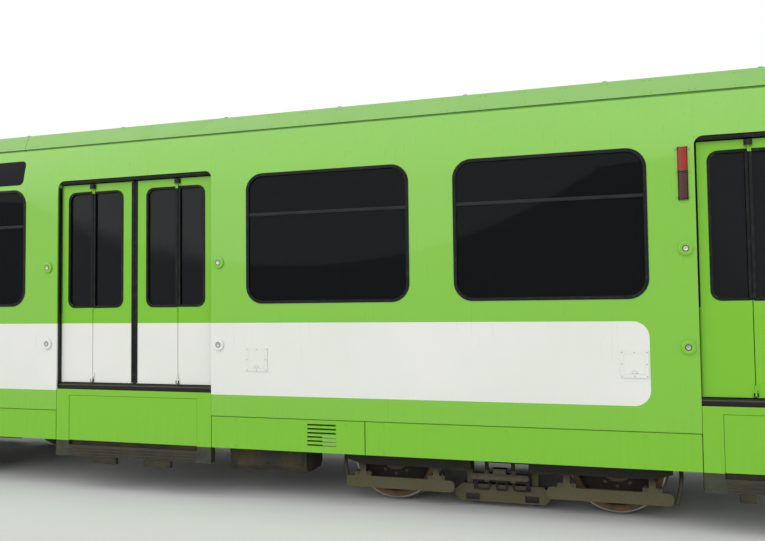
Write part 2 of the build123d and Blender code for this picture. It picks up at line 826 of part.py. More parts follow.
def bogie_frame(powered):
    """The welded frame of a bogie about its own centre, with its axle boxes and its bearing."""
    low = Align.CENTER, Align.CENTER, Align.MIN
    height = beam_top - beam_bottom
    with BuildPart() as frame:
        for side in (-1, 1):
            with BuildSketch(Plane.XZ.offset(-side * beam_y - beam_width / 2)) as beam:
                with BuildLine():
                    half = wheelbase / 2
                    Polyline(
                        (-half - 190, beam_bottom + 30), (-half - 150, axle_z - 110),
                        (-half - 90, axle_z - 130), (-half + 90, axle_z - 130), (-half + 150, axle_z - 110),
                        (-half + 190, beam_bottom), (half - 190, beam_bottom), (half - 150, axle_z - 110),
                        (half - 90, axle_z - 130), (half + 90, axle_z - 130), (half + 150, axle_z - 110),
                        (half + 190, beam_bottom + 30), (half + 190, beam_top - 40),
                        (half + 110, beam_top), (-half - 110, beam_top), (-half - 190, beam_top - 40),
                        close=True,
                    )
                make_face()
                with Locations((-half, axle_z), (half, axle_z)):
                    Circle(axle_radius + bearing_clearance, mode=Mode.SUBTRACT)
            extrude(amount=beam_width)
        for x in (-transom_x, transom_x):
            with Locations((x, 0, beam_bottom)):
                Box(transom_width, 2 * transom_half, height, align=low)
        if powered:
            with Locations((0, 0, beam_top)):
                Cylinder(ring_outer, ring_top - beam_top, align=low)
                Cylinder(ring_inner, ring_top - beam_top, align=low, mode=Mode.SUBTRACT)
        else:
            with Locations((0, 0, beam_top - 60)):
                Box(2 * transom_x, 700, 60, align=low)
            with Locations((0, 0, beam_top)):
                Cylinder(centre_plate_radius, ring_top - beam_top, align=low)
                Cylinder(spigot_radius + bearing_clearance, 300, mode=Mode.SUBTRACT)
    return frame.part


def bogie_side():
    """The outboard rail of the +Y side with its posts and wheel guards, and the track brake inside it."""
    low = Align.CENTER, Align.CENTER, Align.MIN
    guard_y = rail_y + rail_width / 2
    with BuildPart() as rail:
        with BuildSketch(Plane.XZ.offset(-rail_y - rail_width / 2)):
            with BuildLine():
                Polyline(
                    (-guard_half, rail_bottom + 40), (-guard_half, rail_bottom + rail_height),
                    (guard_half, rail_bottom + rail_height), (guard_half, rail_bottom + 40),
                    (guard_half - 140, rail_bottom), (notch_half, rail_bottom),
                    (notch_half, stud_top), (-notch_half, stud_top), (-notch_half, rail_bottom),
                    (140 - guard_half, rail_bottom), close=True,
                )
            make_face()
            for x in (-transom_x, transom_x):
                with Locations((x, rail_bottom + rail_height)):
                    Rectangle(transom_width, beam_bottom - seat_gap - rail_bottom - rail_height,
                              align=(Align.CENTER, Align.MIN))
        extrude(amount=rail_width)
        for start, end in ((-guard_half, -guard_start), (guard_start, guard_half)):
            with BuildSketch(Plane.XZ.offset(-guard_y)):
                with Locations(((start + end) / 2, guard_bottom + guard_height / 2)):
                    RectangleRounded(end - start, guard_height, guard_corner)
            extrude(amount=guard_thickness)
            for x in (start + 150, end - 150):
                with Locations((x, guard_y, guard_bottom + guard_height)):
                    Box(50, 24, rail_bottom - guard_bottom - guard_height,
                        align=(Align.CENTER, Align.MAX, Align.MIN))
                    Box(140, 50, 34, align=(Align.CENTER, Align.MAX, Align.MIN))
        with BuildSketch(Plane.XZ.offset(-guard_y)):
            with Locations((0, bar_bottom + bar_height / 2)):
                SlotOverall(2 * notch_half, bar_height)
        extrude(amount=rail_width)
        for x in (-stud_at, stud_at):
            with Locations((x, rail_y, bar_bottom + bar_height)):
                Cylinder(stud_radius, stud_top - bar_bottom - bar_height, align=low)
        with Locations((0, rail_y, bar_bottom + bar_height)):
            Box(110, rail_width, 42, align=low)
    with BuildPart() as brake:
        with BuildSketch(Plane.XZ.offset(-brake_y - 45)):
            with BuildLine():
                Polyline(
                    (-385, rail_top + 60), (-340, rail_top + 20), (340, rail_top + 20),
                    (385, rail_top + 60), (385, rail_top + 110), (330, rail_top + 160),
                    (-330, rail_top + 160), (-385, rail_top + 110), close=True,
                )
            make_face()
        extrude(amount=90)
        for x in (-transom_x, transom_x):
            with Locations((x * 0.8, brake_y, rail_top + 160)):
                Box(50, 50, beam_bottom - seat_gap - rail_top - 160, align=low)
    return [rail.part, brake.part]


def drive():
    """The motor along the middle of a driven bogie with a gear case round each axle."""
    with BuildPart() as part:
        with Locations(Location((0, 0, axle_z), (0, 90, 0))):
            Cylinder(motor_radius, 2 * transom_x - transom_width - 2 * seat_gap)
            Cylinder(55, wheelbase - 200)
        for x in (-wheelbase / 2, wheelbase / 2):
            with BuildSketch(Plane.XZ.offset(-120)):
                with Locations((x, axle_z)):
                    RegularPolygon(200, 10)
                    Circle(axle_radius + bearing_clearance, mode=Mode.SUBTRACT)
            extrude(amount=240)
        with Locations(Location((-wheelbase / 2, 0, axle_z), (90, 0, 0)),
                       Location((wheelbase / 2, 0, axle_z), (90, 0, 0))):
            Cylinder(axle_radius + bearing_clearance, 300, mode=Mode.SUBTRACT)
    return part.part


def coupler():
    """The coupler at end b with its pin: eye, shank, tapered head, cone and cup."""
    pivot_x = nose_x - 850
    centre_z = rail_top + 520
    face_x = nose_x + coupler_reach - cone_length
    with BuildPart() as part:
        with Locations((pivot_x, 0, centre_z)):
            Cylinder(85, 90)
            Cylinder(30, 180)
            Box(face_x - 240 - pivot_x, 110, 80, align=(Align.MIN, Align.CENTER, Align.CENTER))
        with BuildSketch(Plane.YZ.offset(face_x - 250)):
            with Locations((0, centre_z)):
                Rectangle(130, 110)
        with BuildSketch(Plane.YZ.offset(face_x - 40)):
            with Locations((0, centre_z)):
                Rectangle(290, 250)
        loft(ruled=True)
        with BuildSketch(Plane.YZ.offset(face_x - 40)):
            with Locations((0, centre_z)):
                Rectangle(340, 290)
        extrude(amount=40)
        with Locations(Location((face_x + cone_length / 2, -80, centre_z), (0, 90, 0))):
            Cone(55, 30, cone_length)
        with Locations(Location((face_x - 40, 80, centre_z), (0, 90, 0))):
            Cone(32, 58, 80, mode=Mode.SUBTRACT)
    return part.part


def coupler_bracket():
    """The fork under the cab floor that holds the coupler's pin."""
    pivot_x = nose_x - 850
    centre_z = rail_top + 520
    with BuildPart() as part:
        with Locations((pivot_x - 250, 0, centre_z - 90)):
            Box(150, 300, floor_top - floor_thickness - seat_gap - centre_z + 90,
                align=(Align.MAX, Align.CENTER, Align.MIN))
        for bottom in (centre_z - 90, centre_z + 45 + seat_gap):
            with Locations((pivot_x - 251, 0, bottom)):
                Box(341, 200, 45 - seat_gap, align=(Align.MIN, Align.CENTER, Align.MIN))
        with Locations((pivot_x, 0, centre_z)):
            Cylinder(30 + bearing_clearance, 200, mode=Mode.SUBTRACT)
    return part.part


def underframe_end():
    """Floor, sills, bogie bearing, articulation arm and coupler bracket of end b."""
    low = Align.CENTER, Align.CENTER, Align.MIN
    under = floor_top - floor_thickness - seat_gap
    arm_bottom = ring_top + 2 * seat_gap + tongue_thickness
    arm_top = arm_bottom + tongue_thickness
    bearers = [end_start_x + 1100, bogie_x - 3300, bogie_x - 2600, bogie_x + 1700]
    pieces = floor_and_sills(
        end_start_x, mask_start_x - seat_gap, [joint_x], gangway_disc_radius + disc_clearance, bearers
    )
    with BuildPart() as cab_floor:
        with Locations((mask_start_x, 0, floor_top)):
            Box(cab_floor_end_x - mask_start_x, 2 * half_width, floor_thickness,
                align=(Align.MIN, Align.CENTER, Align.MAX))
        add(mask_outline(mask_wall + seat_gap), mode=Mode.INTERSECT)
    with BuildPart() as arm:
        add(tongue(end_start_x + 600, joint_x, arm_bottom))
        with Locations((joint_x, 0, ring_top + seat_gap + 4)):
            Cylinder(pivot_pin_radius, tongue_thickness, align=low)
    with BuildPart() as packing:
        with Locations((end_start_x + 150, 0, arm_top + seat_gap)):
            Box(450, 2 * tongue_radius, under - arm_top - seat_gap,
                align=(Align.MIN, Align.CENTER, Align.MIN))
    with BuildPart() as bearing:
        with Locations((bogie_x, 0, ring_top + seat_gap)):
            Cylinder(ring_outer, under - ring_top - seat_gap, align=low)
            Cylinder(ring_inner, under - ring_top - seat_gap, align=low, mode=Mode.SUBTRACT)
    case_y = half_width - wall - sill_width - 190
    cases = floor_boxes([(bogie_x - 1970, side * case_y, rail_top + 220, 720, 360) for side in (-1, 1)])
    pieces += [cab_floor.part, arm.part, packing.part, bearing.part, coupler_bracket()]
    return pieces + cases


def underframe_middle():
    """Floor, sills, tongues and gangway discs of the middle section."""
    low = Align.CENTER, Align.CENTER, Align.MIN
    under = floor_top - floor_thickness - seat_gap
    tongue_bottom = ring_top + seat_gap
    tongue_top = tongue_bottom + tongue_thickness
    pieces = floor_and_sills(-middle_end_x, middle_end_x, [], 0, [-1100, 1100])
    for side in (-1, 1):
        with BuildPart() as disc:
            with BuildSketch(Plane.XY.offset(floor_top - floor_thickness)):
                with Locations((side * joint_x, 0)):
                    Circle(gangway_disc_radius)
                with Locations((side * (middle_end_x + seat_gap + joint_x) / 2, 0)):
                    Rectangle(joint_x - middle_end_x - seat_gap, 2 * gangway_disc_radius)
                with Locations((side * (middle_end_x + seat_gap), 0)):
                    Rectangle(2 * gangway_disc_radius, 3 * gangway_disc_radius, mode=Mode.SUBTRACT,
                              align=(Align.MAX if side > 0 else Align.MIN, Align.CENTER))
            extrude(amount=floor_thickness)
        with BuildPart() as bar:
            add(tongue(side * (middle_end_x - 600), side * joint_x, tongue_bottom))
            with Locations((side * joint_x, 0, tongue_bottom)):
                Cylinder(spigot_radius, beam_height - 60, align=(Align.CENTER, Align.CENTER, Align.MAX))
                Cylinder(pivot_pin_radius + bearing_clearance, 3 * tongue_thickness, align=low,
                         mode=Mode.SUBTRACT)
        with BuildPart() as packing:
            with Locations((side * (middle_end_x - 375), 0, tongue_top + seat_gap)):
                Box(450, 2 * tongue_radius, under - tongue_top - seat_gap, align=low)
        pieces += [disc.part, bar.part, packing.part]
    return pieces + floor_boxes([(0, side * 820, rail_top + 380, 1500, 420) for side in (-1, 1)])


def tunnel(x, run, half, bottom, top):
    """A solid tunnel along the car with cut corners."""
    with BuildSketch(Plane.YZ.offset(x)) as face:
        with Locations((0, bottom)):
            Rectangle(2 * half, top - bottom, align=(Align.CENTER, Align.MIN))
        chamfer(face.vertices(), 150)
    return extrude(face.sketch, run)


def bellows():
    """The folded tunnel between the middle section and end b."""
    start = middle_end_x + seat_gap
    length = 2 * gangway_half_gap - 2 * seat_gap
    fold = length / bellows_folds
    low, high = floor_top + seat_gap, wall_top - 40
    with BuildPart() as part:
        add(tunnel(start, length, bellows_half - fold_height, low + fold_height, high - fold_height))
        for row in range(bellows_folds):
            add(tunnel(start + fold * (row + 0.5) - 12, 24, bellows_half, low, high))
        reach = fold_height + bellows_wall
        add(tunnel(start - 1, length + 2, bellows_half - reach, low + reach, high - reach), mode=Mode.SUBTRACT)
    return part.part


def panto_arm(x_start, z_start, x_end, z_end, y_places, radius):
    """Straight tubes between two hinge lines of the pantograph."""
    run = math.hypot(x_end - x_start, z_end - z_start)
    slope = math.degrees(math.atan2(x_end - x_start, z_end - z_start))
    with BuildPart() as arm:
        for y in y_places:
            with Locations(Location((x_start, y, z_start), (0, slope, 0))):
                Cylinder(radius, run, align=(Align.CENTER, Align.CENTER, Align.MIN))
    return arm.part


def cross_shaft(x, z, radius, half_span, hollow=0, start=0):
    """A shaft or a pair of sleeves along Y at one hinge line."""
    with BuildPart() as shaft:
        for side in (-1, 1):
            with Locations(Location((x, side * (start + half_span) / 2, z), (90, 0, 0))):
                Cylinder(radius, half_span - start)
                if hollow:
                    Cylinder(hollow, half_span - start + 10, mode=Mode.SUBTRACT)
    return shaft.part


def pantograph():
    """Lower arm, upper arm and collector head over the bogie of end a, folded down."""
    rise = arm_length * math.sin(math.radians(arm_rest_angle))
    reach = arm_length * math.cos(math.radians(arm_rest_angle))
    x, z = -bogie_x - reach / 2, panto_pivot_z
    knee_x, knee_z, head_z = x + reach, z + rise, z + 2 * rise
    with BuildPart() as lower:
        add(panto_arm(x, z, knee_x, knee_z, (0,), 38))
        add(cross_shaft(x, z, 30, 290))
        add(cross_shaft(knee_x, knee_z, 25, 175))
        add(cross_shaft(knee_x, knee_z, 45, 100))
    with BuildPart() as upper:
        add(panto_arm(knee_x, knee_z, x, head_z, (-140, 140), 22))
        add(cross_shaft(knee_x, knee_z, 45, 165, start=115))
        add(cross_shaft(x, head_z, 20, 290))
        add(cross_shaft(x, head_z, 32, 165, start=115))
        for side in (-1, 1):
            with Locations(Location((knee_x, side * 140, knee_z), (90, 0, 0))):
                Cylinder(25 + bearing_clearance, 100, mode=Mode.SUBTRACT)
    with BuildPart() as head:
        add(cross_shaft(x, head_z, 34, 270, start=210))
        for side in (-1, 1):
            with Locations((x, side * 240, head_z + 45)):
                Box(400, 40, 40)
            with Locations((x, side * 240, head_z + 30)):
                Box(60, 40, 30)
            with Locations((x + side * 180, 0, head_z + 78)):
                Box(50, 1100, 30)
            for end in (-1, 1):
                with Locations(Location((x + side * 180, end * 640, head_z + 53), (-end * 15, 0, 0))):
                    Box(40, 240, 22)
        for side in (-1, 1):
            with Locations(Location((x, side * 240, head_z), (90, 0, 0))):
                Cylinder(20 + bearing_clearance, 100, mode=Mode.SUBTRACT)
    return lower.part, upper.part, head.part


def panto_base():
    """The insulated base frame on the roof of end a that carries the lower arm."""
    reach = arm_length * math.cos(math.radians(arm_rest_angle))
    x, z = -bogie_x - reach / 2, panto_pivot_z
    with BuildPart() as base:
        for side in (-1, 1):
            with Locations((-bogie_x, side * 270, z - 60)):
                Box(reach + 400, 50, 40, align=(Align.CENTER, Align.CENTER, Align.MAX))
            with Locations((x, side * 270, z)):
                Box(90, 36, 160)
            for end in (-1, 1):
                with Locations((-bogie_x + end * 800, side * 270, z - 100)):
                    Cylinder(45, 140, align=(Align.CENTER, Align.CENTER, Align.MAX))
            with Locations((-bogie_x + side * 600, 0, z - 60)):
                Box(50, 560, 40, align=(Align.CENTER, Align.CENTER, Align.MAX))
        with Locations(Location((x, 0, z), (90, 0, 0))):
            Cylinder(30 + bearing_clearance, 700, mode=Mode.SUBTRACT)
    return base.part


def partition(x, opening_half, opening_top):
    """A cross wall inside the body shell: two pillars and the lintel over the way through."""
    half = half_width - wall - seat_gap
    edge = side_y(wall_top, wall) - 2
    pieces = []
    for side in (-1, 1):
        with BuildPart() as pillar:
            with BuildSketch(Plane.YZ.offset(x)):
                with BuildLine():
                    Polyline(
                        (side * opening_half, floor_top + seat_gap),
                        (side * half, floor_top + seat_gap),
                        (side * half, shoulder - 20),
                        (side * side_y(opening_top, wall) - side * 4, opening_top),
                        (side * opening_half, opening_top),
                        close=True,
                    )
                make_face()
            extrude(amount=partition_thickness)
        pieces.append(pillar.part)
    with BuildPart() as lintel:
        with BuildSketch(Plane.YZ.offset(x)):
            with BuildLine():
                top_z = wall_top - seat_gap
                low_edge = side_y(opening_top, wall) - 4
                Polyline(
                    (-low_edge, opening_top + seat_gap), (low_edge, opening_top + seat_gap),
                    (edge, top_z), (-edge, top_z), close=True,
                )
            make_face()
        extrude(amount=partition_thickness)
    return pieces + [lintel.part]


def cab_fittings():
    """Driver's desk and seat."""
    with BuildPart() as desk:
        with BuildSketch(Plane.XZ):
            with BuildLine():
                Polyline(
                    (cab_floor_end_x - 250, floor_top + seat_gap),
                    (cab_floor_end_x - 20, floor_top + seat_gap),
                    (cab_floor_end_x + 200, rail_top + 1420),
                    (cab_floor_end_x + 200, rail_top + 1700),
                    (cab_floor_end_x - 350, rail_top + 1600),
                    (cab_floor_end_x - 350, rail_top + 1540),
                    close=True,
                )
            make_face()
        extrude(amount=780, both=True)
    x = partition_at + partition_thickness + 330
    with BuildPart() as stool:
        with Locations((x, 0, floor_top + seat_gap)):
            Cylinder(60, 420 - 2 * seat_gap, align=(Align.CENTER, Align.CENTER, Align.MIN))
    with BuildPart() as cushion:
        with Locations((x, 0, floor_top + 420)):
            Box(440, 460, 90, align=(Align.CENTER, Align.CENTER, Align.MIN))
        chamfer(cushion.part.edges().filter_by(Axis.Z), 60)
    with BuildPart() as back:
        with Locations((x - 220 - seat_gap, 0, floor_top + 450)):
            Box(80, 440, 680, align=(Align.MAX, Align.CENTER, Align.MIN))
        chamfer(back.part.edges().filter_by(Axis.X).group_by(Axis.Z)[-1], 80)
    seat = [cushion.part, back.part]
    return desk.part, stool.part, seat


roof_b = roof_shell(end_start_x, mask_start_x - seat_gap)
roof_c = roof_shell(-middle_end_x, middle_end_x)
end_signs = [end_windows[0] + 200]
walls_b = side_walls(end_start_x, mask_start_x - seat_gap, end_windows, end_doors, end_signs)
moulding, apron, cab_panes, lamp_solids = cab_front()
frame_b = underframe_end()
skirts_b = skirts(end_start_x, mask_start_x - seat_gap, end_doors, [bogie_x - 1037], [bogie_x - 1414])
seals_b = window_seals(end_windows)
panes_b = glass_panes(end_windows, end_signs)
double_x, single_x = (x for x, width in end_doors)
pole_places = [double_x - 120, double_x + double_door_width + 120, single_x - 120]
poles = [(x, side * 620) for x in pole_places for side in (-1, 1)]
seats_b, inside_b = interior([(x, window_width) for x in end_windows], poles)
desk, stool, driver_seat = cab_fittings()
seats_b += driver_seat
inside_b += [desk, stool]
inside_b += partition(partition_at, 300, rail_top + 2850)
inside_b += partition(end_start_x + 20, 900, rail_top + 2850)
fittings_b = wall_fittings(bogie_x, (-1996, 1040), (-4157, -2359, 1408))

for end, turned in (("b", False), ("a", True)):
    save(walls_b, f"side_walls_{end}", turned)
    save([roof_b], f"roof_{end}", turned)
    save(frame_b, f"underframe_{end}", turned)
    save([skirts_b, apron], f"skirts_{end}", turned)
    save([moulding], f"cab_front_{end}", turned)
    save(seals_b, f"window_seals_{end}", turned)
    save(panes_b + cab_panes, f"glass_{end}", turned)
    save(seats_b, f"seats_{end}", turned)
    save(inside_b, f"interior_{end}", turned)
    save([fittings_b, lamp_solids] + doorway_corners(end_doors), f"fittings_{end}", turned)

end_gear = [door_gear(x, width, side) for x, width in end_doors for side in (-1, 1)]
fixed_doors = [panel for x, width in end_doors for panel in doorway_panels(x, width, 1)]
hung_doors = [panel for x, width in end_doors for panel in doorway_panels(x, width, -1, hung=True)]
still_doors = [panel for x, width in end_doors for panel in doorway_panels(x, width, -1)]
save(fixed_doors + end_gear, "doors_b")
save(fixed_doors + still_doors + end_gear, "doors_a", True)
hung_names = ["double_left_outer", "double_left_inner", "double_right_outer", "double_right_inner",
              "single_outer", "single_inner"]
for name, panel in zip(hung_names, hung_doors):
    save([panel], f"door_{name}")

save(side_walls(-middle_end_x, middle_end_x, middle_windows, middle_doors, []), "side_walls_c")
save([roof_c], "roof_c")
save(underframe_middle(), "underframe_c")
save([skirts(-middle_end_x, middle_end_x, middle_doors, [], [])], "skirts_c")
save(window_seals(middle_windows), "window_seals_c")
save(glass_panes(middle_windows, []), "glass_c")
middle_poles = [(side * (double_door_width / 2 + 120), across * 620) for side in (-1, 1) for across in (-1, 1)]
seats_c, inside_c = interior([(x, window_width) for x in middle_windows], middle_poles)
inside_c += partition(middle_end_x - 20 - partition_thickness, 900, rail_top + 2850)
inside_c += partition(20 - middle_end_x, 900, rail_top + 2850)
save(seats_c, "seats_c")
save(inside_c, "interior_c")
middle_panels = [panel for side in (-1, 1) for panel in doorway_panels(*middle_doors[0], side)]
save(middle_panels + [door_gear(*middle_doors[0], side) for side in (-1, 1)], "doors_c")
save([wall_fittings(0, (), (-915, 915))] + doorway_corners(middle_doors), "fittings_c")

gear_tables = {
    "b": (roof_b, False, [(6500, 0, crown - 40, 1500, 800, 125), (9900, 0, crown - 40, 2100, 800, 125)]),
    "c": (roof_c, False, [(-1300, 0, crown - 40, 1800, 1400, 220), (1300, 0, crown - 40, 1800, 1400, 220)]),
    "a": (roof_b, True, [(5800, 0, crown - 40, 2000, 1300, 200)]),
}
for section, (roof, turned, table) in gear_tables.items():
    gear = [boxes(table) - roof]
    if section == "a":
        gear.append((panto_base() - roof.rotate(Axis.Z, 180)).rotate(Axis.Z, 180))
    save(gear, f"roof_gear_{section}", turned)

joint_bellows = bellows()
save([joint_bellows], "bellows_cb")
save([joint_bellows], "bellows_ac", True)

near_side = bogie_side()
sides = near_side + [piece.mirror(Plane.XZ) for piece in near_side]
motor_bogie = [bogie_frame(True), drive()] + sides
trailer_bogie = [bogie_frame(False)] + sides
axle_set = wheelset()
for number, x in enumerate((-bogie_x, -joint_x, joint_x, bogie_x), start=1):
    frame = motor_bogie if abs(x) == bogie_x else trailer_bogie
    save([piece.moved(Location((x, 0, 0))) for piece in frame], f"bogie_{number}")
    for place, side in ((0, -1), (1, 1)):
        centre = Location((x + side * wheelbase / 2, 0, axle_z))
        save([piece.moved(centre) for piece in axle_set], f"wheelset_{2 * number - 1 + place}")

coupler_b = coupler()
save([coupler_b], "coupler_b")
save([coupler_b], "coupler_a", True)
for name, part in zip(("lower", "upper", "head"), pantograph()):
    save([part], f"panto_{name}")
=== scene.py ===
# %% [markdown]
# # An articulated light rail car
#
# The car has three sections. Two end sections carry the cabs, and a short middle section hangs between
# them on two shared bogies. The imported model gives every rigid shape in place. This lesson paints those
# shapes and adds the small pieces that make a rail car look real: rubbers, buttons, lamps, hatches,
# rivets, padded seats, pleated bellows and the fittings of roof and bogies.

# %% Load the frame
import math

import bmesh
import bpy
from mathutils import Matrix, Vector


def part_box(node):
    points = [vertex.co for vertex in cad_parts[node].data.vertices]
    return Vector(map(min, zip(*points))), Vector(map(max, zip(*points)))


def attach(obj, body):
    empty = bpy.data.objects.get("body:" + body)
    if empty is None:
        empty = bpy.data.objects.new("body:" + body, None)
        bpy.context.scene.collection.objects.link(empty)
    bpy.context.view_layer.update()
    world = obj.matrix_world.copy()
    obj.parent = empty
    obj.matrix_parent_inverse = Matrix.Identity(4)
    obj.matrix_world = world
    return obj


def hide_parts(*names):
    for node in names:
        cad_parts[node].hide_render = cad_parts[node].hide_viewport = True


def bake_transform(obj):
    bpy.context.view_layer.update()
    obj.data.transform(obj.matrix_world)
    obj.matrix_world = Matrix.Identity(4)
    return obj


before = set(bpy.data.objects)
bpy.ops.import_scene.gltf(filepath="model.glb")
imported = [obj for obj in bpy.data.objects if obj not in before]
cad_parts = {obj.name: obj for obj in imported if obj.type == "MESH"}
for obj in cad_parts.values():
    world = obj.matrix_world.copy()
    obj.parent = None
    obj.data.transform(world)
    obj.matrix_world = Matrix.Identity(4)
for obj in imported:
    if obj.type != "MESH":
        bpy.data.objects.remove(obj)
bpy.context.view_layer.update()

# %% [markdown]
# ## Sizes that the pieces share
#
# The car stands on its wheel flanges, so the rail head lies 28 mm above the floor and every height
# is counted from there. The places along the car are counted from the end bogie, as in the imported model.

# %% Main sizes in metres
rail_top = 0.028
half_width = 1.2
bogie_x = 9.8
joint_x = 3.25
nose_x = 13.75
wall_end = 12.2
axle_z = rail_top + 0.365
crown = rail_top + 3.385
floor_top = rail_top + 0.943
door_bottom = rail_top + 0.957
door_top = rail_top + 2.79
doorway_top = rail_top + 2.83
band_low = rail_top + 0.884
band_high = rail_top + 1.498
band_end = bogie_x + 1.148
band_corner = 0.115
leaf_face = half_width - 0.05
leaf_thickness = 0.035
doorways_b = [(bogie_x - 4.05, 1.617), (bogie_x + 1.484, 0.8)]
doorway_c = (-0.8085, 1.617)
windows_b = [3.94, 7.707, 9.512]
windows_c = [-2.577, 1.132]
window_width = 1.445
window_low = rail_top + 1.66
window_high = rail_top + 2.775
leaf_window_top = rail_top + 2.7
gasket_depth = 0.0035
print("windows from", round(window_low, 3), "to", round(window_high, 3), "m above the floor")

# %% [markdown]
# ## Painting by arithmetic
#
# A shader is a net of nodes, and most of its maths is plain adding and comparing. One small class lets
# a socket take Python operators, so a stripe can be written as a comparison of heights. A second class
# holds a material, and its node method makes any other node. Both keep the materials short enough to read.


# %% A socket that takes operators
class Wire:
    """The output of a shader node, used in Python expressions."""

    def __init__(self, finish, socket):
        self.finish, self.socket = finish, socket

    def maths(self, operation, *others):
        return self.finish.node("ShaderNodeMath", {"operation": operation}, self, *others)

    def __add__(self, other):
        return self.maths("ADD", other)

    def __sub__(self, other):
        return self.maths("SUBTRACT", other)

    def __mul__(self, other):
        return self.maths("MULTIPLY", other)

    def __gt__(self, other):
        return self.maths("GREATER_THAN", other)

    def __lt__(self, other):
        return self.maths("LESS_THAN", other)

    def __pow__(self, other):
        return self.maths("POWER", other)

    def __abs__(self):
        return self.maths("ABSOLUTE")

    def __rsub__(self, other):
        return self.finish.node("ShaderNodeMath", {"operation": "SUBTRACT"}, other, self)

    __radd__ = __add__


class Finish:
    """A material with one Principled shader and the nodes that feed it."""

    def __init__(self, name, colour, roughness=0.5, metallic=0.0, coat=0.0, alpha=1.0, shine=0.5):
        self.material = bpy.data.materials.new(name)
        self.material.use_nodes = True
        self.tree = self.material.node_tree
        self.shader = self.tree.nodes["Principled BSDF"]
        self.feed("Base Color", (*colour, 1))
        self.feed("Roughness", roughness)
        self.feed("Metallic", metallic)
        self.feed("Coat Weight", coat)
        self.feed("Alpha", alpha)
        self.feed("Specular IOR Level", shine)
        self.place = self.node("ShaderNodeTexCoord", {}, output="Object")
        split = self.node("ShaderNodeSeparateXYZ", {}, self.place)
        outputs = split.socket.node.outputs
        self.x, self.y, self.z = (Wire(self, outputs[axis]) for axis in "XYZ")

    def node(self, kind, settings, *values, output=0, **named):
        """A new node; inputs come in order, by name, or by number as _6."""
        made = self.tree.nodes.new(kind)
        for key, value in settings.items():
            setattr(made, key, value)
        pairs = list(enumerate(values))
        for key, value in named.items():
            pairs.append((int(key[1:]) if key[1:].isdigit() else key.replace("_", " "), value))
        for key, value in pairs:
            if isinstance(value, Wire):
                self.tree.links.new(value.socket, made.inputs[key])
            else:
                made.inputs[key].default_value = value
        return Wire(self, made.outputs[output])

    def feed(self, socket, value):
        if isinstance(value, Wire):
            self.tree.links.new(value.socket, self.shader.inputs[socket])
        else:
            self.shader.inputs[socket].default_value = value

    def mix(self, factor, low, high):
        """A colour that goes from low to high."""
        low, high = (value if isinstance(value, Wire) else (*value, 1) for value in (low, high))
        kind = {"data_type": "RGBA", "clamp_factor": True}
        return self.node("ShaderNodeMix", kind, output=2, _0=factor, _6=low, _7=high)

    def noise(self, scale, detail=3.0, stretch=None):
        """Cloudy values about 0.5, stretched along an axis if wanted."""
        place = self.place
        if stretch:
            place = self.node("ShaderNodeMapping", {}, place, Scale=stretch)
        kind = {"noise_dimensions": "3D"}
        return self.node("ShaderNodeTexNoise", kind, Vector=place, Scale=scale, Detail=detail)

    def ramp(self, value, low, high):
        """A value from 0 at low to 1 at high."""
        kind = {"clamp": True}
        return self.node("ShaderNodeMapRange", kind, value, low, high, 0.0, 1.0)

    def bump(self, height, strength=0.2, distance=0.001):
        made = self.node("ShaderNodeBump", {}, Strength=strength, Distance=distance, Height=height)
        self.feed("Normal", made)


print("sockets take plus, minus, times, powers, comparisons and abs")

# %% [markdown]
# ## The livery
#
# The sides are sprayed in one gloss green, and a white band runs along the car below the windows and ends
# in a rounded corner beside the cab door. The band could be a thin sheet laid on the wall, but paint has no
# thickness, so here it is a mask from height and length. Every painted node uses the same mask, so the
# band meets across walls, leaves and hatches, also when a door folds away. The cut edges of the wall, a
# little behind its face, are lined with black rubber, and the inside of the wall is a pale panel.

# %% Green paint with its white band
green = (0.196, 0.512, 0.030)
white = (0.80, 0.79, 0.755)
edge_black = (0.010, 0.011, 0.010)
lining_grey = (0.36, 0.36, 0.325)
lining_face, edge_depth = half_width - 0.0595, 0.046
opening_middle, opening_half = 1.9, 0.96
lean_start, lean = 2.88, 0.26


def rounded_field(across, up, half_across, half_up, corner):
    """1 inside a rectangle about zero that has rounded corners, 0 outside it."""
    across = (abs(across) - (half_across - corner)).maths("MAXIMUM", 0.0)
    up = (abs(up) - (half_up - corner)).maths("MAXIMUM", 0.0)
    return (across * across + up * up) < corner * corner


def band_mask(finish):
    """1 on the white band, which ends in rounded corners."""
    up, half_up = finish.z - (band_low + band_high) / 2, (band_high - band_low) / 2
    return rounded_field(finish.x, up, band_end, half_up, band_corner)


def weathered(finish, colour, dust=0.15):
    """Dust near the bottom, faint streaks under the roof edge and a soft unevenness."""
    clouds = finish.noise(1.3, 4.0)
    streaks = finish.noise(5.0, 3.0, stretch=(6.0, 6.0, 0.35))
    colour = finish.mix(clouds * 0.16, colour, (0.14, 0.33, 0.04))
    low = 1 - finish.ramp(finish.z, 0.45, 1.05)
    colour = finish.mix(low * finish.ramp(streaks, 0.35, 0.75) * dust, colour, (0.16, 0.14, 0.09))
    high = finish.ramp(finish.z, 2.9, 3.3)
    return finish.mix(high * finish.ramp(streaks, 0.45, 0.8) * 0.22, colour, (0.22, 0.3, 0.16)), streaks


def paint_relief(finish):
    """The orange peel of sprayed paint over slightly wavy sheet."""
    finish.bump(finish.noise(900.0, 2.0) * 0.1 + finish.noise(2.2, 2.0), 0.1, 0.004)


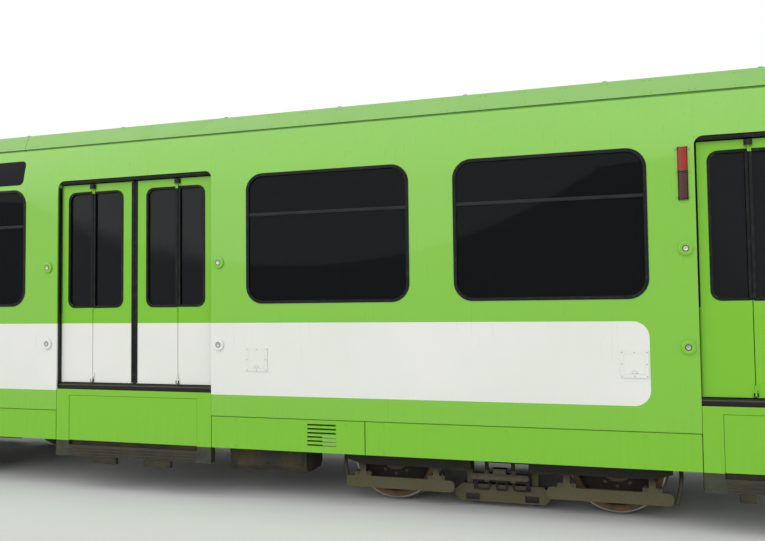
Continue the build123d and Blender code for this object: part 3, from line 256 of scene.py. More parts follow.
paint = Finish("livery paint", green, roughness=0.28, coat=0.35, shine=0.4)
colour, streaks = weathered(paint, paint.mix(band_mask(paint), green, white))
cut_edge = abs(abs(paint.y) - (lining_face + edge_depth / 2)) < edge_depth / 2
jamb = cut_edge * (abs(paint.z - opening_middle) < opening_half) * (abs(paint.x) < wall_end)
colour = paint.mix(jamb, colour, edge_black)
inner_face = lining_face - (paint.z - lean_start).maths("MAXIMUM", 0.0) * lean
lining = (abs(paint.y) < inner_face) * (abs(paint.x) < wall_end) * (paint.z > floor_top)
paint.feed("Base Color", paint.mix(lining, colour, lining_grey))
paint.feed("Roughness", 0.22 + streaks * 0.16)
paint_relief(paint)
print("livery band from", round(band_low, 3), "to", round(band_high, 3), "m")

# %% [markdown]
# ## Skirts and step units
#
# The skirts carry the same green. Below their lower edge the step units show bare grey steel, and the sill
# under each doorway is a black rubbing strip. All are told apart by height alone.

# %% Skirt paint, grey steps and black sills
double_centre, single_centre = (start + width / 2 for start, width in doorways_b)
double_tread, single_tread = 0.668, 0.26
steel_top = rail_top + 0.430
sill_low, sill_high = rail_top + 0.8965, rail_top + 0.952
skirt_paint = Finish("skirt paint", green, roughness=0.34, coat=0.12, shine=0.2)
colour = weathered(skirt_paint, green, 0.10)[0]
grime = skirt_paint.noise(14.0, 5.0)
steel = skirt_paint.mix(skirt_paint.ramp(grime, 0.35, 0.7), (0.046, 0.052, 0.033), (0.026, 0.028, 0.018))
treads = (abs(abs(skirt_paint.x) - double_centre) < double_tread) + (abs(skirt_paint.x) < double_tread)
treads = treads + (abs(abs(skirt_paint.x) - single_centre) < single_tread)
steel = skirt_paint.mix(treads, steel, skirt_paint.mix(grime, (0.052, 0.048, 0.036), (0.026, 0.024, 0.018)))
colour = skirt_paint.mix(skirt_paint.z < steel_top, colour, steel)
sill_zone = (skirt_paint.z > sill_low) * (skirt_paint.z < sill_high)
skirt_paint.feed("Base Color", skirt_paint.mix(sill_zone, colour, (0.006, 0.006, 0.006)))
skirt_paint.feed("Roughness", 0.3 + grime * 0.3)
paint_relief(skirt_paint)
print("skirt paint has", len(skirt_paint.tree.nodes), "nodes")

# %% [markdown]
# ## Roof paint
#
# The riveted edge of the roof is painted a paler, bluer green than the sides, a painted reflection of the sky
# that its tilted strip catches, and the top is a dull grey that gathers soot from the current collector. The
# border between them follows the height of the strip.

# %% Roof edge and roof top
seam_x, seam_half, edge_top = 5.278, 0.003, rail_top + 3.326
roof_paint = Finish("roof paint", green, roughness=0.35, coat=0.2)
soot = roof_paint.noise(3.5, 6.0)
top = roof_paint.mix(roof_paint.ramp(soot, 0.3, 0.75), (0.40, 0.41, 0.40), (0.20, 0.19, 0.17))
# Painted reflection: the edge strip is coloured paler and bluer than the sides to stand for the sky it
# reflects.
edge = roof_paint.mix(roof_paint.noise(1.1, 3.0) * 0.3, (0.198, 0.452, 0.072), (0.235, 0.43, 0.15))
seam = abs(abs(roof_paint.x) - seam_x) < seam_half
edge = roof_paint.mix(seam, edge, (0.05, 0.09, 0.03))
roof_paint.feed("Base Color", roof_paint.mix(roof_paint.z > edge_top, edge, top))
roof_paint.feed("Roughness", roof_paint.ramp(soot, 0.2, 0.9) * 0.3 + 0.32)
paint_relief(roof_paint)
print("roof paint has", len(roof_paint.tree.nodes), "nodes")

# %% [markdown]
# ## Glass, rubber and displays
#
# The panes are tinted grey and let the saloon show darkly. A physically thick pane would need refraction,
# which costs time and shows little at this size, so the pane is a dark gloss skin that is partly clear.
# The two display boxes above the windows are unlit and bare, so they are nearly solid black.

# %% Tinted panes and black rubber
pane = Finish("tinted glass", (0.004, 0.005, 0.006), roughness=0.03, alpha=0.88, shine=0.06)
display_low = rail_top + 2.81
pane.feed("Alpha", (pane.z > display_low) * 0.10 + 0.88)
pane.feed("Roughness", pane.ramp(pane.noise(2.0, 4.0), 0.3, 0.9) * 0.03 + 0.02)
rubber = Finish("black rubber", (0.009, 0.009, 0.010), roughness=0.55, shine=0.15)
dust = rubber.noise(30.0, 4.0)
dusted = rubber.mix(rubber.ramp(dust, 0.5, 0.8), (0.007, 0.007, 0.008), (0.030, 0.030, 0.027))
rubber.feed("Base Color", dusted)
rubber.feed("Roughness", 0.45 + dust * 0.25)
rubber.bump(rubber.noise(350.0, 3.0), 0.15, 0.0008)
print("glass has", len(pane.tree.nodes), "nodes and rubber", len(rubber.tree.nodes))

# %% [markdown]
# ## Door leaves
#
# Each leaf is a painted panel with a pane let into it. Pane and panel are two solids of one node, so the
# finish tells them apart: the pane is the thin layer in the middle of the leaf, inside the window's height.
# The edges of the opening lie behind the face of the leaf and are black, as the rubber there is.

# %% Leaf paint with its panes
pane_y, pane_half = leaf_face - leaf_thickness / 2, 0.0034
casing_face, reveal_half = leaf_face - 0.0352, 0.62
leaf_paint = Finish("door leaf paint", green, roughness=0.28, coat=0.2, shine=0.14)
colour = weathered(leaf_paint, leaf_paint.mix(band_mask(leaf_paint), green, white), 0.12)[0]
layer = abs(abs(leaf_paint.y) - pane_y) < pane_half
glazed = layer * ((leaf_paint.z > window_low + 0.001) * (leaf_paint.z < leaf_window_top - 0.001))
casing = abs(leaf_paint.y) < casing_face
reveal = abs(leaf_paint.z - (window_low + window_high) / 2) < reveal_half
reveal = (abs(leaf_paint.y) < leaf_face - 0.0007) * reveal
colour = leaf_paint.mix(casing.maths("MAXIMUM", reveal), colour, (0.012, 0.012, 0.012))
leaf_paint.feed("Base Color", leaf_paint.mix(glazed, colour, (0.004, 0.005, 0.006)))
leaf_paint.feed("Alpha", 1 - glazed * 0.12)
leaf_paint.feed("Coat Weight", 0.2 - glazed * 0.19)
leaf_paint.feed("Roughness", 0.26 - glazed * 0.22)
paint_relief(leaf_paint)
print("leaf paint has", len(leaf_paint.tree.nodes), "nodes")

# %% [markdown]
# ## Running gear and underframe
#
# Brake dust and rail rust settle on everything below the floor and turn black paint into a warm khaki
# brown. The dust lies thickest on faces near the rail, so its mask mixes height with two sizes of noise.


# %% Dusty steel below the floor
def dusty(name, colour, dust_colour, reach, roughness=0.7, crust=None):
    """Paint under dust that thins out towards a height, with a crust of mud at its foot if one is given."""
    finish = Finish(name, colour, roughness, shine=0.25)
    coarse, fine = finish.noise(6.0, 5.0), finish.noise(60.0, 3.0)
    amount = finish.ramp(coarse * 0.7 + fine * 0.3, 0.38, 0.62)
    amount = amount * (1 - finish.ramp(finish.z, reach * 0.4, reach) * 0.75)
    dusted = finish.mix(amount, colour, dust_colour)
    if crust:
        low = 1 - finish.ramp(finish.z + coarse * 0.06, 0.30, 0.36)
        dusted = finish.mix(low * (fine * 0.5 + 0.55), dusted, crust)
    finish.feed("Base Color", dusted)
    finish.feed("Roughness", amount * 0.25 + (roughness - 0.15))
    finish.bump(fine + coarse, 0.3, 0.0015)
    return finish


frame_paint = dusty("underframe paint", (0.014, 0.014, 0.012), (0.056, 0.046, 0.024), 1.0)
# The bogie's base and dust are darker than the underframe's: partly its black paint and dust, partly painted
# shade that stands for the shadow under the car.
bogie_paint_and_shade = dusty("bogie paint and painted shade", (0.009, 0.008, 0.007), (0.026, 0.021, 0.013), 0.8,
                    crust=(0.110, 0.100, 0.052))
gear_paint = dusty("roof case paint", (0.36, 0.37, 0.36), (0.20, 0.19, 0.17), 9.0, 0.45)
coupler_paint = dusty("coupler paint", (0.02, 0.02, 0.02), (0.06, 0.05, 0.035), 1.2, 0.5)
arm_paint = dusty("current collector paint", (0.16, 0.17, 0.17), (0.05, 0.05, 0.045), 9.0, 0.4)
inside_finish = Finish("saloon mouldings", (0.18, 0.18, 0.165), roughness=0.5)
inside_finish.bump(inside_finish.noise(500.0, 2.0), 0.1, 0.0005)
grain = inside_finish.noise(3.0, 3.0)
inside_finish.feed("Base Color", inside_finish.mix(grain * 0.5, (0.19, 0.19, 0.175), (0.13, 0.13, 0.12)))


tread_radius = 0.352
rust_start, rust_end = 0.300, 0.322


def wheel_steel(name, centre_x):
    """Dark greasy discs, rusty rims, and treads that the rail keeps bright."""
    finish = Finish(name, (0.12, 0.07, 0.04), roughness=0.6, metallic=0.4, shine=0.25)
    across, up = finish.x - centre_x, finish.z - axle_z
    radius = (across * across + up * up) ** 0.5
    tread = radius > tread_radius
    rust = finish.ramp(finish.noise(12.0, 5.0), 0.3, 0.7)
    disc = finish.mix(rust, (0.034, 0.023, 0.015), (0.017, 0.013, 0.010))
    rim = finish.mix(rust, (0.17, 0.100, 0.046), (0.095, 0.062, 0.034))
    disc = finish.mix(finish.ramp(radius, rust_start, rust_end), disc, rim)
    finish.feed("Base Color", finish.mix(tread, disc, (0.24, 0.225, 0.20)))
    finish.feed("Metallic", tread * 0.7 + 0.2)
    finish.feed("Roughness", 0.7 - tread * 0.42)
    finish.bump(rust, 0.3, 0.001)
    return finish


print("bogie paint and painted shade has", len(bogie_paint_and_shade.tree.nodes), "nodes")

# %% Put a finish on every carried-over node
finishes = {
    "side_walls": paint, "cab_front": paint, "skirts": skirt_paint, "roof_gear": gear_paint,
    "roof": roof_paint, "window_seals": rubber, "glass": pane, "doors": leaf_paint, "door_": leaf_paint,
    "underframe": frame_paint, "bogie": bogie_paint_and_shade, "interior": inside_finish,
    "coupler": coupler_paint, "panto": arm_paint, "fittings": paint, "seats": inside_finish,
    "bellows": rubber,
}


def dress(node, finish):
    node.data.materials.clear()
    node.data.materials.append(finish.material)


for name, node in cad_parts.items():
    if name.startswith("wheelset"):
        low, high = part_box(name)
        dress(node, wheel_steel(f"steel of {name}", (low[0] + high[0]) / 2))
    else:
        dress(node, next(finish for start, finish in finishes.items() if name.startswith(start)))
print("finishes on", len(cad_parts), "nodes")

# %% [markdown]
# ## A small workshop
#
# Every new piece below is made as by hand. A primitive is placed at its size, some of its faces or edges are
# selected by where they lie, and operators inset, push, bevel or spin them. These helpers only shorten the
# calls. Selecting by place, not by number, keeps a piece right when a size above is changed.


# %% Tools for modelling
def alone():
    """Leave edit mode with nothing selected."""
    if bpy.context.mode != "OBJECT":
        bpy.ops.object.mode_set(mode="OBJECT")
    bpy.ops.object.select_all(action="DESELECT")


def settle(piece):
    """Put the place, turn and size of a piece into its mesh."""
    alone()
    piece.select_set(True)
    bpy.context.view_layer.objects.active = piece
    bpy.ops.object.transform_apply(location=True, rotation=True, scale=True)
    return piece


def block(low, high):
    """A box between two corners, as a start."""
    alone()
    bpy.ops.mesh.primitive_cube_add(size=1, location=[(a + b) / 2 for a, b in zip(low, high)])
    bpy.context.object.scale = [b - a for a, b in zip(low, high)]
    return settle(bpy.context.object)


def facing(way):
    """The turn that makes a piece's Z axis look along way."""
    return Vector(way).to_track_quat("Z", "Y").to_euler()


def round_plate(centre, radius, way, sides=24):
    """A flat round face that looks along way, as a start."""
    alone()
    bpy.ops.mesh.primitive_circle_add(vertices=sides, radius=radius, fill_type="NGON",
                                      location=centre, rotation=facing(way))
    return settle(bpy.context.object)


def side_plate(x_low, x_high, z_low, z_high, y):
    """A flat face that looks along -Y, as a start."""
    alone()
    bpy.ops.mesh.primitive_plane_add(size=1, location=((x_low + x_high) / 2, y, (z_low + z_high) / 2),
                                     rotation=(math.pi / 2, 0, 0))
    bpy.context.object.scale = (x_high - x_low, z_high - z_low, 1)
    return settle(bpy.context.object)


def pick(kind, test=lambda place, way: True):
    """Open the active piece and select its VERT, EDGE or FACE parts for which test(place, way) holds."""
    piece = bpy.context.object
    if bpy.context.mode != "EDIT_MESH":
        bpy.ops.object.mode_set(mode="EDIT")
    bpy.ops.mesh.select_mode(type=kind)
    bpy.ops.mesh.select_all(action="DESELECT")
    mesh = bmesh.from_edit_mesh(piece.data)
    mesh.normal_update()
    for part in {"VERT": mesh.verts, "EDGE": mesh.edges, "FACE": mesh.faces}[kind]:
        if kind == "VERT":
            place, way = part.co, part.normal
        elif kind == "EDGE":
            start, end = (vert.co for vert in part.verts)
            place, way = (start + end) / 2, (end - start).normalized()
        else:
            place, way = part.calc_center_median(), part.normal
        if test(place, way):
            part.select_set(True)
    mesh.select_flush_mode()
    bmesh.update_edit_mesh(piece.data)


def terrace(steps):
    """Inset the selected faces and push them out, once for each (inset, push)."""
    for inset, push in steps:
        bpy.ops.mesh.inset(thickness=max(inset, 0.00002), depth=push)


def close(outwards=True):
    """Leave edit mode; outwards turns every face the right way first."""
    if outwards:
        bpy.ops.mesh.select_all(action="SELECT")
        bpy.ops.mesh.normals_make_consistent(inside=False)
    bpy.ops.object.mode_set(mode="OBJECT")
    return bpy.context.object


def modify(piece, kind, **settings):
    """Add one modifier and apply it."""
    alone()
    piece.select_set(True)
    bpy.context.view_layer.objects.active = piece
    modifier = piece.modifiers.new(kind.lower(), kind)
    for key, value in settings.items():
        setattr(modifier, key, value)
    bpy.ops.object.modifier_apply(modifier=modifier.name)
    return piece


def thicken(piece, depth, rounding=0.001):
    """Give a flat face or frame its thickness on the side that it looks to, and round its edges."""
    modify(piece, "SOLIDIFY", thickness=depth, offset=1.0)
    return modify(piece, "BEVEL", width=rounding, segments=2, limit_method="ANGLE")


def twin(piece, matrix):
    """A copy with its own mesh. A mirrored mesh is turned right side out."""
    made = piece.copy()
    made.data = piece.data.copy()
    bpy.context.collection.objects.link(made)
    made.data.transform(matrix)
    if matrix.determinant() < 0:
        made.data.flip_normals()
    return made


def joined(pieces):
    """Many small pieces as one object."""
    alone()
    for piece in pieces:
        piece.select_set(True)
    bpy.context.view_layer.objects.active = pieces[0]
    if len(pieces) > 1:
        bpy.ops.object.join()
    return pieces[0]


def keep(piece, name, body, finish, smooth=35):
    """Name, smooth and paint a finished piece, and fix it to its body."""
    settle(piece)
    bpy.ops.object.shade_smooth_by_angle(angle=math.radians(smooth))
    piece.name = piece.data.name = name
    dress(piece, finish)
    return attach(piece, body) if body else piece


def shifted(x=0.0, y=0.0, z=0.0):
    return Matrix.Translation((x, y, z))


over = Matrix.Scale(-1, 4, (0, 1, 0))
flipped = Matrix.Scale(-1, 4, (1, 0, 0))
turned = Matrix.Rotation(math.pi, 4, "Z")


def both_ends(piece, name, finish, smooth=35):
    """Keep a piece of end section b, and its twin on end section a."""
    other = twin(piece, turned)
    keep(piece, f"{name}_b", "section_b", finish, smooth)
    keep(other, f"{name}_a", "section_a", finish, smooth)


def both_sides(pieces):
    """The pieces of the near side and their mirror images on the far side."""
    return joined(pieces + [twin(piece, over) for piece in pieces])


def every_section(make, places_b, places_c, name, finish):
    """Make one piece at each place, on both sides of all three sections."""
    both_ends(both_sides([make(*place) for place in places_b]), name, finish)
    keep(both_sides([make(*place) for place in places_c]), f"{name}_c", "section_c", finish)


print("tools ready")

# %% [markdown]
# ## Finishes for small parts
#
# Small parts tell most by how they catch light: a machined button is bright, a lens is clear plastic over
# colour, and a pole is brushed. Each finish has a little unevenness of its own, at the scale of the part.


# %% Metal, plastic and cloth
def plain_finish(name, colour, worn, roughness, metallic=0.0, scale=40.0, bump=0.15, shine=0.5):
    """A colour that wears unevenly towards a second colour, with a fine relief."""
    finish = Finish(name, colour, roughness, metallic, shine=shine)
    coarse, fine = finish.noise(scale / 8, 4.0), finish.noise(scale * 6, 3.0)
    finish.feed("Base Color", finish.mix(finish.ramp(coarse * 0.6 + fine * 0.4, 0.4, 0.66), colour, worn))
    finish.feed("Roughness", fine * 0.2 + (roughness - 0.1))
    finish.bump(fine, bump, 0.0006)
    return finish


bright_metal = plain_finish("turned steel", (0.50, 0.51, 0.46), (0.34, 0.35, 0.31), 0.34, 0.9)
dull_metal = plain_finish("weathered aluminium", (0.30, 0.30, 0.29), (0.19, 0.19, 0.18), 0.45, 0.8)
dark_plastic = plain_finish("dark plastic", (0.009, 0.009, 0.010), (0.024, 0.023, 0.021), 0.5, shine=0.2)
pole_metal = plain_finish("handrail steel", (0.50, 0.50, 0.48), (0.42, 0.42, 0.40), 0.22, 1.0, 12.0, 0.05)
bolt_steel = plain_finish("bolt steel", (0.060, 0.052, 0.038), (0.105, 0.078, 0.046), 0.6, 0.4, 90.0)

moquette = Finish("seat cloth", (0.028, 0.075, 0.085), roughness=0.9)
weave_up = moquette.node("ShaderNodeTexWave", {"wave_type": "BANDS", "bands_direction": "Z"},
                         Vector=moquette.place, Scale=260.0, Distortion=1.5, output=1)
weave_over = moquette.node("ShaderNodeTexWave", {"wave_type": "BANDS", "bands_direction": "Y"},
                           Vector=moquette.place, Scale=260.0, Distortion=1.5, output=1)
fleck = moquette.ramp(moquette.noise(75.0, 2.0), 0.50, 0.68)
cloth = moquette.mix(moquette.noise(7.0, 3.0), (0.020, 0.060, 0.070), (0.034, 0.088, 0.100))
moquette.feed("Base Color", moquette.mix(fleck * 0.35, cloth, (0.10, 0.14, 0.07)))
moquette.feed("Roughness", 0.8 + weave_up * 0.15)
moquette.bump(weave_up * 0.5 + weave_over * 0.5, 0.22, 0.0006)

pleat_rubber = plain_finish("bellows rubber", (0.022, 0.022, 0.023), (0.050, 0.048, 0.044), 0.62, 0.0, 60.0,
                            0.3)
print("small finishes ready")

# %% [markdown]
# ## Lamps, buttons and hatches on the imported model
#
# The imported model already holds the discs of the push-buttons, the plates of the hatches, the side
# lamps and the head lamps, as one node for each section. One material serves the node: livery by default,
# red and brown lenses where the side lamps are, and fluted glass where the lamps of the nose are.

# %% A finish for the fittings
side_lamp_x = bogie_x + 1.404
lamp_z = rail_top + 1.05
lens_half, lens_corner = 0.0358, 0.033
lens_low, lens_joint, lens_high = rail_top + 2.36, rail_top + 2.572, rail_top + 2.76
capsule_z, capsule_half = rail_top + 2.562, 0.194
cap_half, foot_cap_top = 0.011, rail_top + 2.385
fitting_paint = Finish("fitting paint", green, roughness=0.28, coat=0.3, shine=0.35)
colour = weathered(fitting_paint, fitting_paint.mix(band_mask(fitting_paint), green, white))[0]
lamp_zone = (abs(abs(fitting_paint.x) - side_lamp_x) < lens_half) * (fitting_paint.z > lens_low)
lamp_zone = lamp_zone * (fitting_paint.z < lens_high)
upper_lens = fitting_paint.z > lens_joint
caps = (abs(fitting_paint.z - lens_joint) < cap_half) + (fitting_paint.z < foot_cap_top)
ribs = fitting_paint.node("ShaderNodeTexWave", {"wave_type": "BANDS", "bands_direction": "Z"},
                          Vector=fitting_paint.place, Scale=22.0, output=1)
lens = fitting_paint.mix(upper_lens, (0.062, 0.009, 0.003), (0.34, 0.014, 0.003))
lens = fitting_paint.mix(ribs * 0.35, lens, (0.03, 0.006, 0.004))
across_lens = abs(fitting_paint.x) - side_lamp_x
capsule = rounded_field(across_lens, fitting_paint.z - capsule_z, lens_half, capsule_half, lens_corner)
lens = fitting_paint.mix(caps.maths("MAXIMUM", 1 - capsule), lens, (0.012, 0.004, 0.003))
colour = fitting_paint.mix(lamp_zone, colour, lens)
nose_zone = abs(fitting_paint.x) > nose_x - 0.35
flutes = fitting_paint.node("ShaderNodeTexWave", {"wave_type": "BANDS", "bands_direction": "Y"},
                            Vector=fitting_paint.place, Scale=30.0, output=1)
tail_zone = abs(fitting_paint.y) < 0.6
nose_lens = fitting_paint.mix(tail_zone, fitting_paint.mix(flutes, (0.62, 0.64, 0.64), (0.36, 0.38, 0.38)),
                              fitting_paint.mix(flutes, (0.42, 0.018, 0.010), (0.22, 0.010, 0.006)))
fitting_paint.feed("Base Color", fitting_paint.mix(nose_zone, colour, nose_lens))
shine = lamp_zone + nose_zone
fitting_paint.feed("Roughness", 0.26 - shine * 0.14)
fitting_paint.feed("Coat Weight", 0.3 - lamp_zone * 0.26 + nose_zone * 0.6)
barrel = across_lens * across_lens * lamp_zone * -9000.0
fitting_paint.bump(ribs * lamp_zone + flutes * nose_zone + barrel, 0.4, 0.0012)
for end in "abc":
    dress(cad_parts[f"fittings_{end}"], fitting_paint)
print("side lamps at", round(side_lamp_x, 3), "m, nose lamps", round(lamp_z, 3), "m high")

# %% [markdown]
# ## Rubbers of the folding doors
#
# Each leaf holds its pane in a flat black rubber. The outer corners of a pair are rounded and the two
# corners at the fold are nearly square, so a shut pair reads as one window with a bar down its middle.
# The frame is one flat face: its corners are bevelled, it is inset once, and its middle is taken out.

# %% Gaskets and meeting rubbers for one pair of leaves
fold_u, fold_half_gap = 0.360, 0.0025
pane_start, pane_cover = 0.086, 0.020


def gasket(u_low, u_high, round_low):
    """The rubber round one pane. round_low says at which end its corners are round."""
    piece = side_plate(u_low, u_high, window_low - pane_cover, leaf_window_top + pane_cover, -leaf_face)
    middle = (u_low + u_high) / 2
    pick("VERT", lambda place, way: (place.x < middle) == round_low)
    bpy.ops.mesh.bevel(offset=0.075, segments=7, affect="VERTICES")
    pick("VERT", lambda place, way: abs(place.x - (u_high if round_low else u_low)) < 0.001)
    bpy.ops.mesh.bevel(offset=0.008, segments=2, affect="VERTICES")
    pick("FACE")
    bpy.ops.mesh.inset(thickness=0.021)
    bpy.ops.mesh.delete(type="FACE")
    close(False)
    return thicken(piece, gasket_depth)


def edge_rubber(reach):
    """The hollow rubber down the free edge of an inner leaf."""
    piece = block((reach - 0.0265, -leaf_face - 0.0055, door_bottom + 0.004),
                  (reach + 0.0035, -leaf_face - 0.0002, door_top - 0.004))
    pick("FACE", lambda place, way: way.y < -0.9)
    terrace([(0.003, 0.0), (0.0012, -0.0018), (0.006, 0.0), (0.0012, 0.0018)])
    close()
    return modify(piece, "BEVEL", width=0.0012, segments=2, limit_method="ANGLE")


def fold_cap():
    """The round cap over the upper hinge of the fold."""
    piece = round_plate((fold_u, -leaf_face - 0.008, door_top - 0.046), 0.028, (0, 0, 1), 20)
    pick("FACE")
    terrace([(0.0, 0.026), (0.0, 0.012), (0.003, 0.004), (0.010, 0.001)])
    return close()


def fold_clip():
    """The small clamp at the foot of the fold."""
    piece = block((fold_u - 0.016, -leaf_face - 0.010, door_bottom + 0.006),
                  (fold_u + 0.016, -leaf_face - 0.0005, door_bottom + 0.034))
    pick("FACE", lambda place, way: way.y < -0.9)
    terrace([(0.004, 0.002), (0.004, -0.001)])
    return close()


pane_ends = {"double": 0.6675, "single": 0.657}
reaches = {"double": 0.8035, "single": 0.793}
trims = {}
for kind, pane_end in pane_ends.items():
    trims[kind] = {
        "outer": [gasket(pane_start, fold_u - fold_half_gap, True)],
        "inner": [gasket(fold_u + fold_half_gap, pane_end + pane_cover, False), edge_rubber(reaches[kind])],
        "caps": [fold_cap(), fold_clip()],
    }
print("door trims for", ", ".join(trims))

# %% [markdown]
# The doors on the near side of end b move, so their rubbers ride on the leaves. The other doors are fixed
# in this model, and their rubbers are joined into one object for each section.

# %% Place the trims on every pair of leaves
double_b, single_b = doorways_b
pairs_b = [("double", double_b[0], 1), ("double", sum(double_b), -1), ("single", single_b[0], 1)]
pairs_c = [("double", doorway_c[0], 1), ("double", sum(doorway_c), -1)]
fixed_rubbers, fixed_caps = {"a": [], "b": [], "c": []}, {"a": [], "b": [], "c": []}
for (kind, jamb, way), leaf in zip(pairs_b, ("double_left", "double_right", "single")):
    place = shifted(jamb) @ (flipped if way < 0 else Matrix())
    for part in ("outer", "inner"):
        rubbers = joined([twin(piece, place) for piece in trims[kind][part]])
        keep(rubbers, f"gasket_{leaf}_{part}", f"door_{leaf}_{part}", rubber)
    hinge_caps = joined([twin(piece, place) for piece in trims[kind]["caps"]])
    keep(hinge_caps, f"fold_caps_{leaf}", f"door_{leaf}_outer", dark_plastic)
for end, pairs, sides in (("b", pairs_b, [over]), ("a", pairs_b, [turned, turned @ over]),
                          ("c", pairs_c, [Matrix(), over])):
    for side in sides:
        for kind, jamb, way in pairs:
            place = side @ shifted(jamb) @ (flipped if way < 0 else Matrix())
            for part in ("outer", "inner"):
                fixed_rubbers[end] += [twin(piece, place) for piece in trims[kind][part]]
            fixed_caps[end] += [twin(piece, place) for piece in trims[kind]["caps"]]
for end in "abc":
    keep(joined(fixed_rubbers[end]), f"gaskets_{end}", f"section_{end}", rubber)
    keep(joined(fixed_caps[end]), f"fold_caps_{end}", f"section_{end}", dark_plastic)
for trim in trims.values():
    for piece in sum(trim.values(), []):
        bpy.data.objects.remove(piece)
print("trims on", len(pairs_b) * 4 + len(pairs_c) * 2, "pairs of leaves")

# %% [markdown]
# ## Headers over the doorways
#
# The gap above the leaves is shut by a black rubber with rounded ends. It is a bar whose two upper corners
# are bevelled before a groove is stepped into its face, set back a little from the wall.


# %% Door headers
header_face, header_back = -1.185, -1.158


def header(start, width):
    piece = block((start + 0.004, header_face, door_top + 0.0065),
                  (start + width - 0.004, header_back, doorway_top - 0.0012))
    pick("EDGE", lambda place, way: abs(way.y) > 0.99 and place.z > door_top + 0.02)
    bpy.ops.mesh.bevel(offset=0.022, segments=6)
    pick("FACE", lambda place, way: way.y < -0.99)
    terrace([(0.003, 0.0), (0.001, -0.002), (0.003, 0.0), (0.001, 0.002)])
    close()
    return modify(piece, "BEVEL", width=0.001, segments=2, limit_method="ANGLE")


every_section(header, doorways_b, [doorway_c], "door_headers", rubber)
print("headers on", 4 * len(doorways_b) + 2, "doorways")

# %% [markdown]
# ## Push-buttons
#
# A push-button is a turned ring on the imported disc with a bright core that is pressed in. Both start as
# round plates and are stepped inwards and outwards by insets, the way a lathe tool steps across a face.


# %% Rings and cores of the push-buttons
button_face = -half_width - 0.0124
button_z = (rail_top + 1.31, rail_top + 2.02)
buttons_b = [(x, z) for x in (bogie_x - 4.157, bogie_x - 2.359, bogie_x + 1.408) for z in button_z]
buttons_c = [(x, z) for x in (-0.915, 0.915) for z in button_z]


def button_ring(x, z):
    piece = round_plate((x, button_face, z), 0.047, (0, -1, 0), 28)
    pick("FACE")
    terrace([(0.003, 0.0016), (0.007, 0.0), (0.002, -0.0020), (0.010, 0.0004)])
    return close(False)


def button_shade_ring(x, z):
    """A dark ring between ring and core; its black is painted shade for the shadow in the gap."""
    piece = round_plate((x, button_face - 0.0002, z), 0.0235, (0, -1, 0), 24)
    pick("FACE")
    terrace([(0.0010, 0.0010), (0.0015, -0.0006)])
    return close(False)


def button_core(x, z):
    piece = round_plate((x, button_face, z), 0.019, (0, -1, 0), 20)
    pick("FACE")
    terrace([(0.0015, 0.0017), (0.005, 0.0001), (0.002, -0.0008), (0.004, 0.0)])
    return close(False)


every_section(button_ring, buttons_b, buttons_c, "button_rings", fitting_paint)
every_section(button_core, buttons_b, buttons_c, "button_cores", bright_metal)
# The dark ring between ring and core is painted shade: it stands for the shadow in the gap.
every_section(button_shade_ring, buttons_b, buttons_c, "button_shade_rings", dark_plastic)
print("push-buttons:", 4 * len(buttons_b) + 2 * len(buttons_c))

# %% [markdown]
# ## Hatches in the band
#
# Each hatch is a flap in a screwed frame, with a half-round hole for a finger at its foot. The frame and
# flap are one plate: the insets cut the thin groove between them.

# %% Hatch frames, finger holes and screws
hatches = [bogie_x - 1.996, bogie_x + 1.040]
hatch_z = rail_top + 1.186
hatch_face = -half_width - 0.0064
hatch_half, screw_reach, hole_z = 0.098, 0.087, hatch_z - 0.068


def hatch_plate(x):
    piece = side_plate(x - hatch_half, x + hatch_half, hatch_z - hatch_half, hatch_z + hatch_half, hatch_face)
    pick("FACE")
    terrace([(0.0008, 0.0014), (0.021, 0.0), (0.0006, -0.0018), (0.0022, 0.0), (0.0006, 0.0026)])
    return close(False)


def finger_hole(x):
    piece = round_plate((x, hatch_face - 0.0024, hole_z), 0.022, (0, -1, 0), 24)
    pick("FACE")
    bpy.ops.mesh.bisect(plane_co=(x, 0, hole_z), plane_no=(0, 0, 1), clear_inner=True)
    pick("FACE")
    terrace([(0.0012, 0.0004), (0.0010, -0.0012)])
    return close(False)


def screw(x, z):
    piece = round_plate((x, hatch_face - 0.0014, z), 0.0042, (0, -1, 0), 10)
    pick("FACE")
    terrace([(0.0008, 0.0012), (0.0012, 0.0003), (0.0006, -0.0006)])
    return close(False)


both_ends(both_sides([hatch_plate(x) for x in hatches]), "hatch_plates", fitting_paint)
both_ends(both_sides([finger_hole(x) for x in hatches]), "finger_holes", dark_plastic)
screws = [screw(x + along * screw_reach, hatch_z + up * screw_reach)
          for x in hatches for along in (-1, 0, 1) for up in (-1, 0, 1) if along or up]
both_ends(both_sides(screws), "hatch_screws", dull_metal)
print("hatches at", [round(x, 3) for x in hatches])

# %% [markdown]
# ## Brackets of the side lamps
#
# Three thin straps hold each pair of side lamps. They show as small ears on both sides of the lenses.


# %% Lamp ears
def lamp_ear(z, side):
    x = side_lamp_x + side * (lens_half + 0.0072)
    piece = block((x - 0.009, -half_width - 0.0042, z - 0.008), (x + 0.009, -half_width - 0.0003, z + 0.008))
    pick("EDGE", lambda place, way: abs(way.y) > 0.9 and (place.x - x) * side > 0)
    bpy.ops.mesh.bevel(offset=0.005, segments=3)
    pick("FACE", lambda place, way: way.y < -0.9)
    terrace([(0.004, 0.0), (0.0006, 0.0016)])
    return close()


strap_heights = (rail_top + 2.392, lens_joint, rail_top + 2.742)
ears = [lamp_ear(z, side) for z in strap_heights for side in (-1, 1)]
both_ends(both_sides(ears), "lamp_ears", fitting_paint)
print("lamp ears:", 4 * len(ears))

# %% [markdown]
# ## Riveted edge of the roof
#
# The strip over the windows is held by pairs of rivets. There are hundreds of them, so each is a ten-sided
# plate with two small steps, enough to catch a highlight. They follow the slope of the strip.

# %% Rivets along the roof strip
strip_low, strip_high = Vector((0, -1.1086, 3.208)), Vector((0, -1.0486, 3.353))
rivet_step, rivet_half_pair = 0.31, 0.022
strip_way = Vector((0, -(strip_high.z - strip_low.z), -(strip_low.y - strip_high.y))).normalized()


